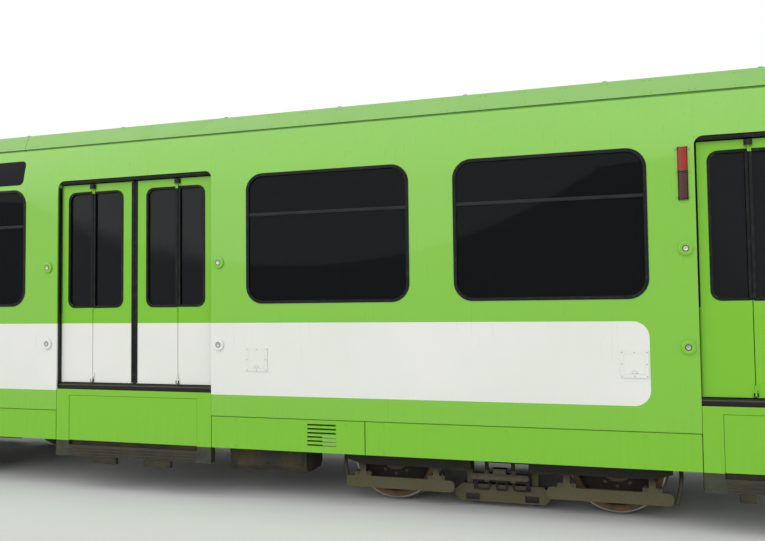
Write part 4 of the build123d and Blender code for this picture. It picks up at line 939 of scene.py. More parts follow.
def rivet(x, share):
    foot = strip_low.lerp(strip_high, share) + Vector((x, 0, 0)) - strip_way * 0.0005
    piece = round_plate(foot, 0.0075, strip_way, 10)
    pick("FACE")
    terrace([(0.0006, 0.0018), (0.0028, 0.0012)])
    return close(False)


first = [rivet(0.0, share) for share in (0.14, 0.86)]


def rivet_row(start, end):
    count = int((end - start) / rivet_step)
    return [twin(piece, shifted(start + rivet_step * (place + 0.5) + spare))
            for place in range(count) for spare in (-rivet_half_pair, rivet_half_pair) for piece in first]


both_ends(both_sides([joined(rivet_row(3.70, 12.22))]), "rivets", roof_paint, 50)
keep(both_sides([joined(rivet_row(-2.80, 2.80))]), "rivets_c", "section_c", roof_paint, 50)
for piece in first:
    bpy.data.objects.remove(piece)
print("rivets rest along a slope of", round(math.degrees(math.atan2(strip_way.z, -strip_way.y))), "degrees")

# %% [markdown]
# ## Opening lights of the windows
#
# The upper part of each window is an opening light. From outside it shows as a dark bar across the pane and
# a small catch in its middle. The bar is a block whose outer face is stepped like an extruded profile.


# %% Sash bars
def sash_bar(start):
    """The bar across one window, and its catch."""
    middle, height = start + window_width / 2, rail_top + 2.42
    bar = block((start + 0.024, -half_width + 0.002, height - 0.013),
                (start + window_width - 0.024, -half_width + 0.0088, height + 0.013))
    pick("FACE", lambda place, way: way.y < -0.9)
    terrace([(0.003, 0.0018), (0.004, 0.0), (0.001, -0.0012)])
    close()
    catch = block((middle - 0.035, -half_width + 0.0205, height + 0.012),
                  (middle + 0.035, -half_width + 0.034, height + 0.034))
    pick("EDGE", lambda place, way: abs(way.y) > 0.9)
    bpy.ops.mesh.bevel(offset=0.006, segments=3)
    close()
    return [bar, catch]


sashes_b, sashes_c = (sum((sash_bar(x) for x in windows), []) for windows in (windows_b, windows_c))
both_ends(both_sides(sashes_b), "sash_bars", dark_plastic)
keep(both_sides(sashes_c), "sash_bars_c", "section_c", dark_plastic)
print("opening lights:", 4 * len(windows_b) + 2 * len(windows_c))

# %% [markdown]
# ## Upholstery
#
# A seat pad is foam under stretched cloth, so it is crowned and its sides pull in between the corners. It
# could be shaped by hand, but inflating it is closer to what happens: the block is remeshed evenly, Cloth
# blows it up under pressure, and no point may move further than a cap. One pad of each size is made, and
# the rest are copies.


# %% Inflate one pad
def pad(size, cap, channels=0):
    """A pad about the origin that swells by cap at most, with stitched channels across it."""
    half = [value / 2 - cap * 0.8 for value in size]
    thin = size.index(min(size))
    piece = block([-value for value in half], half)
    pick("EDGE")
    bpy.ops.mesh.bevel(offset=min(0.018, min(half) * 0.7), segments=3)
    close()
    modify(piece, "REMESH", mode="VOXEL", voxel_size=0.017)
    rest = [vert.co.copy() for vert in piece.data.vertices]
    piece.modifiers.new("cloth", "CLOTH")
    cloth = piece.modifiers["cloth"].settings
    cloth.use_pressure, cloth.uniform_pressure_force = True, 4.0
    cloth.effector_weights.gravity = 0.0
    cloth.quality, cloth.tension_stiffness, cloth.compression_stiffness = 4, 8.0, 8.0
    for step in range(1, 13):
        bpy.context.scene.frame_set(step)
    alone()
    piece.select_set(True)
    bpy.context.view_layer.objects.active = piece
    bpy.ops.object.modifier_apply(modifier="cloth")
    bpy.context.scene.frame_set(1)
    for vert, start in zip(piece.data.vertices, rest):
        way = vert.co - start
        vert.co = start + (way if way.length < cap else way.normalized() * cap)
        for row in range(channels):
            across = vert.co.y - size[1] * ((row + 1) / (channels + 1) - 0.5)
            depth = math.exp(-(across / 0.012) ** 2) * 0.006
            vert.co[thin] -= math.copysign(min(depth, abs(vert.co[thin])), vert.co[thin])
    return piece


cushion_top = floor_top + 0.44
cushion_length, cushion_depth, back_thickness, back_height = 0.425, 0.095, 0.062, 0.64
wide, narrow, swell = 0.88, 0.45, 0.012
pads = {
    "wide cushion": pad((cushion_length, wide, cushion_depth), swell, 1),
    "narrow cushion": pad((cushion_length, narrow, cushion_depth), swell),
    "wide back": pad((back_thickness, wide, back_height), swell, 1),
    "narrow back": pad((back_thickness, narrow, back_height), swell),
}
print({name: len(piece.data.vertices) for name, piece in pads.items()})

# %% [markdown]
# The seats stand in facing pairs beside each window, two places wide on one side of the gangway and one
# place wide on the other. A seat that faces backwards is the same pad turned about.


# %% Set the pads on their seats
seat_rows = ((-0.6897, "wide"), (0.9047, "narrow"))
seat_set_in, back_offset = 0.277, 0.2403
driver_seat_x = 12.5


def seats(starts, driver_x=None):
    """Cushions and backs beside the windows that start at these places, and those of the driver."""
    cushions, backs = [], []
    for start in starts:
        for x, way in ((start + seat_set_in, 1), (start + window_width - seat_set_in, -1)):
            for y, size in seat_rows:
                cushions.append(twin(pads[f"{size} cushion"], shifted(x, y, cushion_top - 0.045)))
                back_x = x - way * back_offset
                backs.append(twin(pads[f"{size} back"], shifted(back_x, y, cushion_top + 0.26)))
    if driver_x:
        cushions.append(twin(pads["narrow cushion"], shifted(driver_x, 0, floor_top + 0.465)))
        backs.append(twin(pads["narrow back"], shifted(driver_x - 0.2603, 0, floor_top + 0.79)))
    return joined(cushions), joined(backs)


for end in "bca":
    cushions, backs = seats(windows_c) if end == "c" else seats(windows_b, driver_seat_x)
    for piece, name in ((cushions, "seat_cushions"), (backs, "seat_backs")):
        if end == "a":
            piece.data.transform(turned)
        keep(piece, f"{name}_{end}", f"section_{end}", moquette, 60)
        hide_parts(f"seats_{end}")
for piece in pads.values():
    bpy.data.objects.remove(piece)
print("upholstery on three sections")

# %% [markdown]
# ## Bellows between the sections
#
# A bellows is a tunnel of rubber pleats, stitched edge to edge and clamped to a frame at each end. A pleat
# folds sharply, so the tunnel is drawn out ring by ring: each ring is extruded a short way along the car
# and grown or shrunk in turn.

# %% Pleats drawn out ring by ring
bellows_start, bellows_end = joint_x - 0.398, joint_x + 0.398
clamp_reach, clamp_depth = 0.3997, 0.022
pleats, fold_ratio = 11, 0.955
bottom, top = rail_top + 0.955, rail_top + 3.118
centre_z = (bottom + top) / 2


def tunnel_ring(half, low, high, x, chamfer):
    """An open ring with cut corners across the car."""
    alone()
    bpy.ops.mesh.primitive_plane_add(size=1, location=(x, 0, (low + high) / 2), rotation=(0, -math.pi / 2, 0))
    bpy.context.object.scale = (high - low, 2 * half, 1)
    settle(bpy.context.object)
    pick("VERT")
    bpy.ops.mesh.bevel(offset=chamfer, segments=3, affect="VERTICES")
    pick("FACE")
    bpy.ops.mesh.delete(type="ONLY_FACE")
    return bpy.context.object


def pleated_tunnel():
    piece = tunnel_ring(1.088, bottom + 0.012, top - 0.012, bellows_start, 0.15)
    run = (bellows_end - bellows_start) / (2 * pleats)
    pick("EDGE")
    for step in range(2 * pleats):
        out = step % 2 == 0
        size = fold_ratio if out else 1 / fold_ratio
        bpy.ops.mesh.extrude_edges_move(TRANSFORM_OT_translate={"value": (run * 0.5, 0, 0)})
        bpy.ops.transform.resize(value=(1, size, 1 - (1 - size) * 0.95),
                                 center_override=(bellows_start, 0, centre_z))
        bpy.ops.mesh.extrude_edges_move(TRANSFORM_OT_translate={"value": (run * 0.5, 0, 0)})
    close()
    modify(piece, "SOLIDIFY", thickness=0.006, offset=-1.0)
    return modify(piece, "BEVEL", width=0.003, segments=2, limit_method="ANGLE")


def clamp_ring(x):
    """The metal frame that clamps one end of the bellows."""
    piece = tunnel_ring(1.098, bottom + 0.004, top - 0.004, x, 0.155)
    pick("EDGE")
    bpy.ops.mesh.extrude_edges_move(TRANSFORM_OT_translate={"value": (clamp_depth, 0, 0)})
    close()
    modify(piece, "SOLIDIFY", thickness=0.035, offset=-1.0)
    return modify(piece, "BEVEL", width=0.002, segments=2, limit_method="ANGLE")


pleated = pleated_tunnel()
clamps = [clamp_ring(joint_x - clamp_reach), clamp_ring(joint_x + clamp_reach - clamp_depth)]
other = twin(pleated, turned)
keep(pleated, "pleats_cb", None, pleat_rubber, 20)
keep(other, "pleats_ac", None, pleat_rubber, 20)
for piece, end, way, node in ((pleated, "b", 1, "bellows_cb"), (other, "a", -1, "bellows_ac")):
    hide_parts(node)
    way * 2.88
    way * 3.62
    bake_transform(piece)
for piece, name, body in ((clamps[0], "clamp_c_b", "section_c"), (clamps[1], "clamp_b", "section_b")):
    copy = twin(piece, turned)
    keep(piece, name, body, dull_metal)
    keep(copy, name[:-1] + "a", body if body == "section_c" else "section_a", dull_metal)
print("pleats:", pleats, "in each of 2 tunnels")

# %% [markdown]
# ## Pipes, springs and bolts
#
# A few shapes come back all over the running gear. A pipe is a curve with a round section that is turned
# into a mesh. A coil spring is a small ring that the Screw modifier winds upwards. Round things are spun
# from half of their outline, as on a lathe, and a bolt is a six-sided plate on a round washer.


# %% Makers of pipes, springs and bolts
def pipe(points, radius):
    """A stiff pipe through the given points, with rounded bends."""
    alone()
    curve = bpy.data.curves.new("pipe", "CURVE")
    curve.dimensions, curve.bevel_depth, curve.bevel_resolution = "3D", radius, 1
    curve.use_fill_caps, curve.resolution_u = True, 4
    line = curve.splines.new("NURBS")
    line.points.add(len(points) - 1)
    for knot, point in zip(line.points, points):
        knot.co = (*point, 1)
    line.order_u = 3
    line.use_endpoint_u = True
    piece = bpy.data.objects.new("pipe", curve)
    bpy.context.collection.objects.link(piece)
    piece.select_set(True)
    bpy.context.view_layer.objects.active = piece
    bpy.ops.object.convert(target="MESH")
    return settle(bpy.context.object)


def rod(start, end, radius, sides=12):
    """A straight round bar with softened ends."""
    start, end = Vector(start), Vector(end)
    piece = round_plate(start, radius, start - end, sides)
    pick("FACE")
    bpy.ops.mesh.extrude_region_move(TRANSFORM_OT_translate={"value": end - start})
    close()
    return modify(piece, "BEVEL", width=radius * 0.15, segments=1, limit_method="ANGLE",
                  angle_limit=math.radians(60))


def lathe(profile, centre, way=(0, 0, 1), sides=24):
    """A round shape about way, spun from (radius, height) points of its outline."""
    alone()
    radius, height = profile[0]
    bpy.ops.mesh.primitive_plane_add(size=0.001, location=(radius, 0, height))
    piece = settle(bpy.context.object)
    pick("VERT")
    bpy.ops.mesh.merge(type="CENTER")
    for (radius, height), (next_radius, next_height) in zip(profile, profile[1:]):
        step = (next_radius - radius, 0, next_height - height)
        bpy.ops.mesh.extrude_region_move(TRANSFORM_OT_translate={"value": step})
    bpy.ops.mesh.select_all(action="SELECT")
    bpy.ops.mesh.spin(steps=sides, angle=math.tau, center=(0, 0, 0), axis=(0, 0, 1))
    bpy.ops.mesh.select_all(action="SELECT")
    bpy.ops.mesh.remove_doubles(threshold=0.0002)
    piece = close()
    piece.data.transform(Matrix.Translation(centre) @ facing(way).to_matrix().to_4x4())
    return piece


def coil(centre, radius, height, wire, turns, along_x=False):
    """A coil spring that starts at centre and rises by height, or lies along the car."""
    alone()
    bpy.ops.mesh.primitive_circle_add(vertices=6, radius=wire, location=(radius, 0, 0),
                                      rotation=(math.pi / 2, 0, 0))
    piece = settle(bpy.context.object)
    modify(piece, "SCREW", angle=math.tau * turns, screw_offset=height, steps=int(14 * turns), axis="Z")
    pick("VERT")
    bpy.ops.mesh.fill_holes(sides=6)
    close()
    if along_x:
        piece.data.transform(Matrix.Rotation(math.pi / 2, 4, "Y"))
    piece.data.transform(shifted(*centre))
    return piece


def bolt(place, way, radius=0.014, height=0.010):
    """A hexagon head on a round washer."""
    way = Vector(way)
    washer = round_plate(place, radius * 1.4, way, 12)
    pick("FACE")
    terrace([(0.0, height * 0.2)])
    close(False)
    head = round_plate(Vector(place) + way * height * 0.2, radius, way, 6)
    pick("FACE")
    terrace([(0.0, height * 0.7), (radius * 0.16, height * 0.1)])
    close(False)
    return joined([head, washer])


def stepped(low, high, side, steps, rounding=0.0):
    """A box whose face on one side, such as -Y, is stepped by insets."""
    piece = block(low, high)
    way = Vector([(1 if side[0] == "+" else -1) if letter == side[1] else 0 for letter in "XYZ"])
    pick("FACE", lambda place, normal: normal.dot(way) > 0.9)
    terrace(steps)
    close()
    if rounding:
        modify(piece, "BEVEL", width=rounding, segments=2, limit_method="ANGLE")
    return piece


print("makers ready")

# %% [markdown]
# ## Guards, brakes and springs of the bogies
#
# The outside of a bogie shows a guard before each wheel, and between them a bar on two studs with the loops
# of the track brake under it. Above the cross beams stand the coil springs that carry the car. All of this
# is modelled once about the middle of a bogie and copied to the four of them.


# %% Loops of the track brake, and nuts of the bar
shoe_face, loop_low, loop_high = -0.806, 0.148, 0.224
bar_y, bar_face, guard_face = -0.890, -0.9202, -0.9202


def loop_plate(x, half, corner):
    """A flat ring with round ends in front of the brake shoe."""
    piece = side_plate(x - half, x + half, loop_low, loop_high, shoe_face)
    pick("VERT")
    bpy.ops.mesh.bevel(offset=corner, segments=5, affect="VERTICES")
    pick("FACE")
    bpy.ops.mesh.inset(thickness=0.013)
    bpy.ops.mesh.delete(type="FACE")
    close(False)
    return thicken(piece, 0.012, 0.002)


def brake_details():
    """Loops under a bridge, their hangers, and the worn pads at both ends of the shoe."""
    loops = [loop_plate(x, 0.062, 0.034) for x in (-0.150, 0.150)]
    loops += [loop_plate(0.0, 0.046, 0.015)]
    bridge = stepped((-0.225, -0.822, 0.220), (0.225, -0.786, 0.246), "-Y", [(0.006, 0.003)])
    hangers = [stepped((x - 0.012, -0.812, 0.150), (x + 0.012, -0.786, loop_high), "-Y", [(0.003, 0.002)])
               for x in (-0.215, 0.215)]
    wear = [stepped((x - 0.055, -0.794, 0.060), (x + 0.055, -0.788, 0.110), "-Y", [(0.008, 0.004)])
            for x in (-0.24, 0.24)]
    return loops + [bridge] + hangers + wear


def bar_details():
    """Nuts, washers and clamps on the bar and on the feet of the guards."""
    parts = []
    for x in (-0.105, 0.105):
        parts.append(bolt((x, bar_y, 0.3032), (0, 0, 1), 0.022, 0.026))
        parts.append(bolt((x, bar_y, 0.2548), (0, 0, -1), 0.022, 0.020))
    parts.append(stepped((-0.048, -0.9235, 0.306), (0.048, -0.9203, 0.342), "-Y", [(0.008, 0.0025)]))
    for x in (-0.19, 0.19):
        parts.append(bolt((x, bar_face, 0.279), (0, -1, 0), 0.012))
    for x in (-1.15, -0.52, 0.52, 1.15):
        for shift in (-0.045, 0.045):
            parts.append(bolt((x + shift, -0.895, 0.2633), (0, 0, 1), 0.011, 0.012))
            parts.append(bolt((x + shift, guard_face, 0.246), (0, -1, 0), 0.010, 0.008))
    return parts


shoe_parts, bar_parts = brake_details(), bar_details()
print("bogie side:", len(shoe_parts), "brake pieces,", len(bar_parts), "bolts and nuts")


# %% Springs, sand pipes and copies for the four bogies
# Outlines are (radius, height) pairs, and the route of the sand pipe is (x, y, z) from the bogie's middle.
spring_y, spring_foot, spring_height = -0.80, 0.608, 0.234
seat_outline = [(0.110, 0.0), (0.110, 0.010), (0.098, 0.014), (0.098, 0.022), (0.090, 0.020), (0.0, 0.016)]
cap_outline = [(0.0, 0.0), (0.104, 0.0), (0.104, 0.009), (0.088, 0.014), (0.0, 0.014)]
sand_route = [(1.06, -0.625, 0.53), (1.28, -0.645, 0.53), (1.36, -0.68, 0.50), (1.37, -0.735, 0.40),
              (1.37, -0.735, 0.22), (1.33, -0.735, 0.10)]


def spring_parts():
    """Two nested coils over each end of a cross beam, between a dished seat and a cap."""
    coils, ends = [], []
    for x in (-0.33, 0.33):
        coils.append(coil((x, spring_y, spring_foot), 0.078, spring_height, 0.013, 4.5))
        coils.append(coil((x, spring_y, spring_foot), 0.045, spring_height, 0.009, 6.5))
        ends.append(lathe(seat_outline, (x, spring_y, 0.5885)))
        ends.append(lathe(cap_outline, (x, spring_y, 0.860), (0, 0, -1)))
    return coils, ends


def sand_pipe(side):
    """A pipe that leads sand from the beam's end to the rail before the wheel."""
    return pipe([(side * x, y, z) for x, y, z in sand_route], 0.016)


coils, spring_ends = spring_parts()
bogie_sets = {
    "brake_loops": (both_sides(shoe_parts), dark_plastic, "bogie_grey"),
    "guard_bolts": (both_sides(bar_parts), bolt_steel, "bogie_grey"),
    "springs": (both_sides(coils), bolt_steel, "bogie_grey"),
    "spring_seats": (both_sides(spring_ends), bogie_paint_and_shade, "bogie_grey"),
    "sand_pipes": (both_sides([sand_pipe(side) for side in (-1, 1)]), bogie_paint_and_shade, "bogie_grey"),
}
for number, x in enumerate((-bogie_x, -joint_x, joint_x, bogie_x), start=1):
    for name, (piece, finish, slot) in bogie_sets.items():
        keep(twin(piece, shifted(x)), f"{name}_{number}", f"bogie_{number}", finish)
for piece, finish, slot in bogie_sets.values():
    bpy.data.objects.remove(piece)
print("details on 4 bogies")

# %% [markdown]
# ## Hubs of the wheels
#
# A resilient wheel shows a pressed cap over the end of its axle and a ring of bolts that clamp its rubber
# blocks. The cap is spun from its outline, and the bolts are one bolt turned about the axle.


# %% Wheel caps and clamp bolts
hub_outline = [(0.128, 0.0), (0.125, 0.006), (0.102, 0.008), (0.096, 0.004), (0.074, 0.006), (0.069, 0.032),
               (0.060, 0.038), (0.0, 0.040)]
clamp_bolts, bolt_circle = 10, 0.158


def wheel_face():
    """Cap and bolts for the near wheel of an axle at the origin."""
    cap = lathe(hub_outline, (0, -0.7872, 0), (0, -1, 0), 24)
    first_bolt = bolt((0, -0.7805, bolt_circle), (0, -1, 0), 0.011, 0.010)
    bolts = [twin(first_bolt, Matrix.Rotation(math.tau * share / clamp_bolts, 4, "Y"))
             for share in range(clamp_bolts)]
    bpy.data.objects.remove(first_bolt)
    return [cap] + bolts


hub = both_sides(wheel_face())
for number in range(1, 9):
    low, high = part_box(f"wheelset_{number}")
    axle = shifted((low[0] + high[0]) / 2, 0, (low[2] + high[2]) / 2)
    keep(twin(hub, axle), f"wheel_hubs_{number}", f"wheelset_{number}", bolt_steel)
bpy.data.objects.remove(hub)
print("hubs on 8 wheelsets")

# %% [markdown]
# ## Skirts and steps
#
# Quarter-turn locks hold the skirts. The folding steps show a ribbed tread edge over two brackets, and a
# dark plate shuts the gap behind them. The sill over each step carries a thin worn metal edge.


# %% Locks, treads and sill edges
lock_places = (4.10, 5.55, 7.60, 8.60, 8.92, 9.90, 10.90, 12.14)
lock_heights = (rail_top + 0.455, rail_top + 0.668)
tread_inset, rib_pitch, bracket_share = 0.150, 0.026, 0.20


def quarter_lock(x, z):
    piece = round_plate((x, -half_width + 0.0018, z), 0.013, (0, -1, 0), 14)
    pick("FACE")
    terrace([(0.001, 0.0014), (0.003, 0.0), (0.0008, -0.001)])
    return close(False)


def step_edges(start, width):
    """The worn metal edge on the sill rubber, and the ribs, back plate and brackets of the folded tread."""
    edge = stepped((start + 0.004, -half_width + 0.0210, rail_top + 0.930),
                   (start + width - 0.004, -half_width + 0.0225, rail_top + 0.9395), "-Y", [(0.001, 0.001)])
    rib_start, rib_end = start + tread_inset, start + width - tread_inset
    treads = [stepped((rib_start, -half_width + 0.0005, rail_top + 0.304 + row * rib_pitch),
                      (rib_end, -half_width + 0.006, rail_top + 0.315 + row * rib_pitch),
                      "-Y", [(0.002, 0.002)]) for row in range(3)]
    low, span = start + 0.142, width - 0.284
    treads.append(stepped((low, -half_width + 0.040, rail_top + 0.370),
                          (low + span, -half_width + 0.052, rail_top + 0.452), "-Y", [(0.004, 0.003)]))
    for share in (0.18, 0.60):
        treads.append(stepped((low + span * share, -half_width + 0.006, rail_top + 0.232),
                              (low + span * (share + bracket_share), -half_width + 0.040, rail_top + 0.2915),
                              "-Y", [(0.004, 0.002), (0.010, -0.001)]))
    return [edge], treads


locks = [quarter_lock(x, z) for x in lock_places for z in lock_heights]
both_ends(both_sides(locks), "skirt_locks", fitting_paint)
edges_b, treads_b = (sum(parts, []) for parts in zip(*(step_edges(*door) for door in doorways_b)))
both_ends(both_sides(edges_b), "sill_edges", bolt_steel)
both_ends(both_sides(treads_b), "tread_ribs", frame_paint)
edges_c, treads_c = step_edges(*doorway_c)
keep(both_sides(edges_c), "sill_edges_c", "section_c", bolt_steel)
keep(both_sides(treads_c), "tread_ribs_c", "section_c", frame_paint)
print("locks:", 4 * len(locks))

# %% [markdown]
# ## Roof equipment
#
# The cases on the roof hold resistors and controls. Each has a pressed lid with a raised field, louvres along
# its sides and latches at its ends. Cables reach them through pipes that lie on the roof.

# %% Lids, louvres and latches
# Each case is (middle along the car, length, width, top).
roof_cases = {"b": [(6.5, 1.5, 0.8, 3.498), (9.9, 2.1, 0.8, 3.498)],
              "c": [(-1.3, 1.8, 1.4, 3.593), (1.3, 1.8, 1.4, 3.593)],
              "a": [(-5.8, 2.0, 1.3, 3.573)]}
slat_pitch, slat_rows, row_pitch, slat_margin = 0.38, 3, 0.019, 0.08


def case_lid(x, length, width, top):
    """The insets step a square field; the Bevel modifier rounds the corners only afterwards."""
    piece = block((x - length / 2 - 0.012, -width / 2 - 0.012, top - 0.030),
                  (x + length / 2 + 0.012, width / 2 + 0.012, top + 0.006))
    pick("FACE", lambda place, way: way.z > 0.9)
    terrace([(0.010, 0.004), (0.060, 0.0), (0.012, 0.008), (0.10, 0.0), (0.010, -0.005)])
    close()
    return modify(piece, "BEVEL", width=0.003, segments=2, limit_method="ANGLE")


def louvres(x, length, width, top):
    """Slanted slats along both long sides."""
    low = top - 0.092
    first_slat = block((x - length / 2 + slat_margin, -width / 2 - 0.014, low),
                       (x - length / 2 + slat_margin + 0.30, -width / 2 + 0.001, low + 0.008))
    pick("EDGE", lambda place, way: abs(way.x) > 0.9 and place.y < -width / 2 - 0.01)
    bpy.ops.transform.translate(value=(0, 0, -0.006))
    close()
    groups = int((length - 2 * slat_margin) / slat_pitch)
    slats = [twin(first_slat, shifted(group * slat_pitch, 0, row * row_pitch))
             for group in range(groups) for row in range(slat_rows)]
    bpy.data.objects.remove(first_slat)
    return slats + [twin(slat, over) for slat in slats]


def latches(x, length, width, top):
    """Two latches at each end, each a flap under a hook."""
    parts = []
    for side in (-1, 1):
        for y in (-width * 0.3, width * 0.3):
            face = x + side * (length / 2 + 0.011)
            low, high = sorted((face, face + side * 0.014))
            parts.append(stepped((low, y - 0.025, top - 0.075), (high, y + 0.025, top - 0.012),
                                 "+X" if side > 0 else "-X", [(0.006, 0.004), (0.006, -0.002)]))
            low, high = sorted((x + side * (length / 2 - 0.001), face + side * 0.004))
            parts.append(stepped((low, y - 0.018, top - 0.071), (high, y + 0.018, top - 0.032), "+Z",
                                 [(0.003, 0.001)]))
    return parts


for end, cases in roof_cases.items():
    lids = joined([case_lid(*case) for case in cases])
    keep(lids, f"case_lids_{end}", f"section_{end}", gear_paint)
    details = [piece for case in cases for piece in louvres(*case) + latches(*case)]
    keep(joined(details), f"case_louvres_{end}", f"section_{end}", dull_metal)
print("roof cases:", sum(len(cases) for cases in roof_cases.values()))


# %% Cable pipes with clips on the roof
crown_drop, roof_half = 0.060, 1.0486
pipe_radius, clip_pitch, clip_set_in = 0.017, 1.1, 0.2


def roof_height(y):
    """The roof's surface at a distance from its middle."""
    return crown - crown_drop * (y / roof_half) ** 2


def roof_run(start, end, y):
    """A cable pipe along the roof whose ends dip into it, with its clips."""
    z = roof_height(y) + 0.022
    run = [pipe([(start, y, z - 0.035), (start + 0.02, y, z), (start + 0.15, y, z), (end - 0.15, y, z),
                 (end - 0.02, y, z), (end, y, z - 0.035)], pipe_radius)]
    clips = int((end - start) / clip_pitch)
    for place in range(clips + 1):
        x = start + clip_set_in + (end - start - 2 * clip_set_in) * place / max(clips, 1)
        run.append(stepped((x - 0.02, y - 0.04, z - 0.026), (x + 0.02, y + 0.04, z + 0.012), "+Z",
                           [(0.006, 0.008)]))
    return run


def roof_pair(start, end, y):
    """The same run on both sides of the roof's middle."""
    return joined(roof_run(start, end, -y) + roof_run(start, end, y))


both_ends(roof_pair(3.75, 12.0, 0.80), "roof_pipes", gear_paint)
keep(roof_pair(7.30, 8.80, 0.18), "case_pipes", "section_b", gear_paint)
keep(roof_pair(-2.75, 2.75, 0.86), "roof_pipes_c", "section_c", gear_paint)
print("roof pipes lie", round(roof_height(0.80), 3), "m high")

# %% [markdown]
# ## Current collector
#
# The collector stands on four ribbed insulators. Two springs at its foot pull the lower arm up when they are
# freed, and a thin guide rod runs beside the arm. The carbon strips are told by height in the head's finish.

# %% Insulators, springs and guide rod
ceramic = plain_finish("brown ceramic", (0.060, 0.022, 0.012), (0.040, 0.018, 0.012), 0.25, 0.0, 30.0, 0.05)
shed = [(0.047, 0.0), (0.066, 0.004), (0.066, 0.007), (0.047, 0.014)]
outline = [(radius, row * 0.014 + height) for row in range(3) for radius, height in shed]
insulator_places = [(-bogie_x + end * 0.8, side * 0.27) for end in (-1, 1) for side in (-1, 1)]
insulators = [lathe(outline, (x, y, crown + 0.005), (0, 0, 1), 20) for x, y in insulator_places]
keep(joined(insulators), "insulators", "section_a", ceramic)

arm_length, arm_slope, spring_sides = 1.5, math.radians(5), (-0.12, 0.12)
reach, rise = arm_length * math.cos(arm_slope), arm_length * math.sin(arm_slope)
foot = Vector((-bogie_x - reach / 2, 0, crown + 0.150))
tray = [stepped((foot.x + 0.07, -0.175, foot.z - 0.060), (foot.x + 0.60, 0.175, foot.z - 0.048), "+Z",
                [(0.010, -0.003)])]
for x in (foot.x + 0.09, foot.x + 0.56):
    for y in spring_sides:
        tray.append(stepped((x - 0.012, y - 0.03, foot.z - 0.050), (x + 0.012, y + 0.03, foot.z + 0.030),
                            "+Z", [(0.004, 0.008)], 0.002))
keep(joined(tray), "spring_tray", "section_a", arm_paint)
pair = [coil((foot.x + 0.10, y, foot.z - 0.004), 0.030, 0.45, 0.006, 14, along_x=True) for y in spring_sides]
keep(joined(pair), "raising_springs", "section_a", bolt_steel)
knee = foot + Vector((reach, 0, rise))
guide_y, guide_lift = 0.062, 0.045
guide = rod(foot + Vector((0.12, guide_y, guide_lift)), knee + Vector((-0.09, guide_y, guide_lift)), 0.010)
lugs = [stepped((x - 0.015, 0.02, z - 0.01), (x + 0.015, 0.074, z + 0.060), "+Z", [(0.004, 0.003)])
        for x, z in ((foot.x + 0.13, foot.z + 0.011), (knee.x - 0.10, knee.z - 0.009))]
keep(joined([guide] + lugs), "guide_rod", "panto_lower", arm_paint)

head_finish = Finish("collector head", (0.16, 0.17, 0.17), roughness=0.42, metallic=0.3)
wear = head_finish.noise(25.0, 4.0)
strip_low_z, strip_half = foot.z + 2 * rise + 0.074, 0.552
strip_zone = (head_finish.z > strip_low_z) * (abs(head_finish.y) < strip_half)
metal = head_finish.mix(wear, (0.22, 0.22, 0.21), (0.09, 0.085, 0.07))
graphite = head_finish.mix(wear, (0.014, 0.014, 0.015), (0.045, 0.043, 0.040))
head_finish.feed("Base Color", head_finish.mix(strip_zone, metal, graphite))
head_finish.feed("Metallic", 0.6 - strip_zone * 0.5)
head_finish.feed("Roughness", wear * 0.2 + 0.32)
head_finish.bump(head_finish.noise(300.0, 2.0), 0.15, 0.0005)
dress(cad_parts["panto_head"], head_finish)
print("collector's knee at", round(knee.x, 3), round(knee.z, 3))

# %% [markdown]
# ## Cab front
#
# The windscreen and the side windows of the cab sit in black rubber that follows the curved moulding. A flat
# frame is drawn first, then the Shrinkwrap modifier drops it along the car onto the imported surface, and only
# then does it get its thickness.


# %% Rubbers round the cab windows
cab_window_low, cab_window_high = 12.42, 13.18
cab_overlap = 0.026


def wrap(piece, axis):
    """Drop a flat frame onto the moulding of the cab along one axis."""
    return modify(piece, "SHRINKWRAP", wrap_method="PROJECT", target=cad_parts["cab_front_b"],
                  offset=0.0005, use_negative_direction=True, use_positive_direction=True,
                  **{f"use_project_{axis}": True})


def hollow(piece, corner, width, divide, cuts):
    """Round the corners of a flat plate, divide the edges that divide picks and take its middle out."""
    pick("VERT")
    bpy.ops.mesh.bevel(offset=corner, segments=8, affect="VERTICES")
    pick("EDGE", divide)
    bpy.ops.mesh.subdivide(number_cuts=cuts)
    pick("FACE")
    bpy.ops.mesh.inset(thickness=width)
    bpy.ops.mesh.delete(type="FACE")
    close(False)
    return piece


def end_frame(half, low, high, corner, width):
    """A frame across the nose that looks forwards."""
    alone()
    bpy.ops.mesh.primitive_plane_add(size=1, location=(nose_x + 0.05, 0, (low + high) / 2),
                                     rotation=(0, math.pi / 2, 0))
    bpy.context.object.scale = (high - low, 2 * half, 1)
    piece = settle(bpy.context.object)
    hollow(piece, corner, width, lambda place, way: max(abs(way.y), abs(way.z)) > 0.99, 12)
    wrap(piece, "x")
    return thicken(piece, 0.006)


def cab_side_frame():
    """The rubber round the side window of the cab."""
    piece = side_plate(cab_window_low - cab_overlap, cab_window_high + cab_overlap, window_low - cab_overlap,
                       rail_top + 2.695 + cab_overlap, -1.3)
    hollow(piece, 0.146, 0.024, lambda place, way: max(abs(way.x), abs(way.z)) > 0.99, 10)
    wrap(piece, "y")
    return thicken(piece, gasket_depth)


screen_rubber = end_frame(0.972, rail_top + 1.438, rail_top + 2.742, 0.16, 0.040)
display_rubber = end_frame(0.650, rail_top + 2.800, rail_top + 3.090, 0.088, 0.028)
cab_rubbers = joined([screen_rubber, display_rubber, both_sides([cab_side_frame()])])
both_ends(cab_rubbers, "cab_rubbers", rubber)
print("cab rubbers dropped onto the moulding")

# %% [markdown]
# ## Lamps and wiper of the cab
#
# Each lamp of the nose sits in a bezel, which is a ring dropped onto the moulding. The wiper has an arm that
# is sprung against the screen and a blade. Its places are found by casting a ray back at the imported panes.


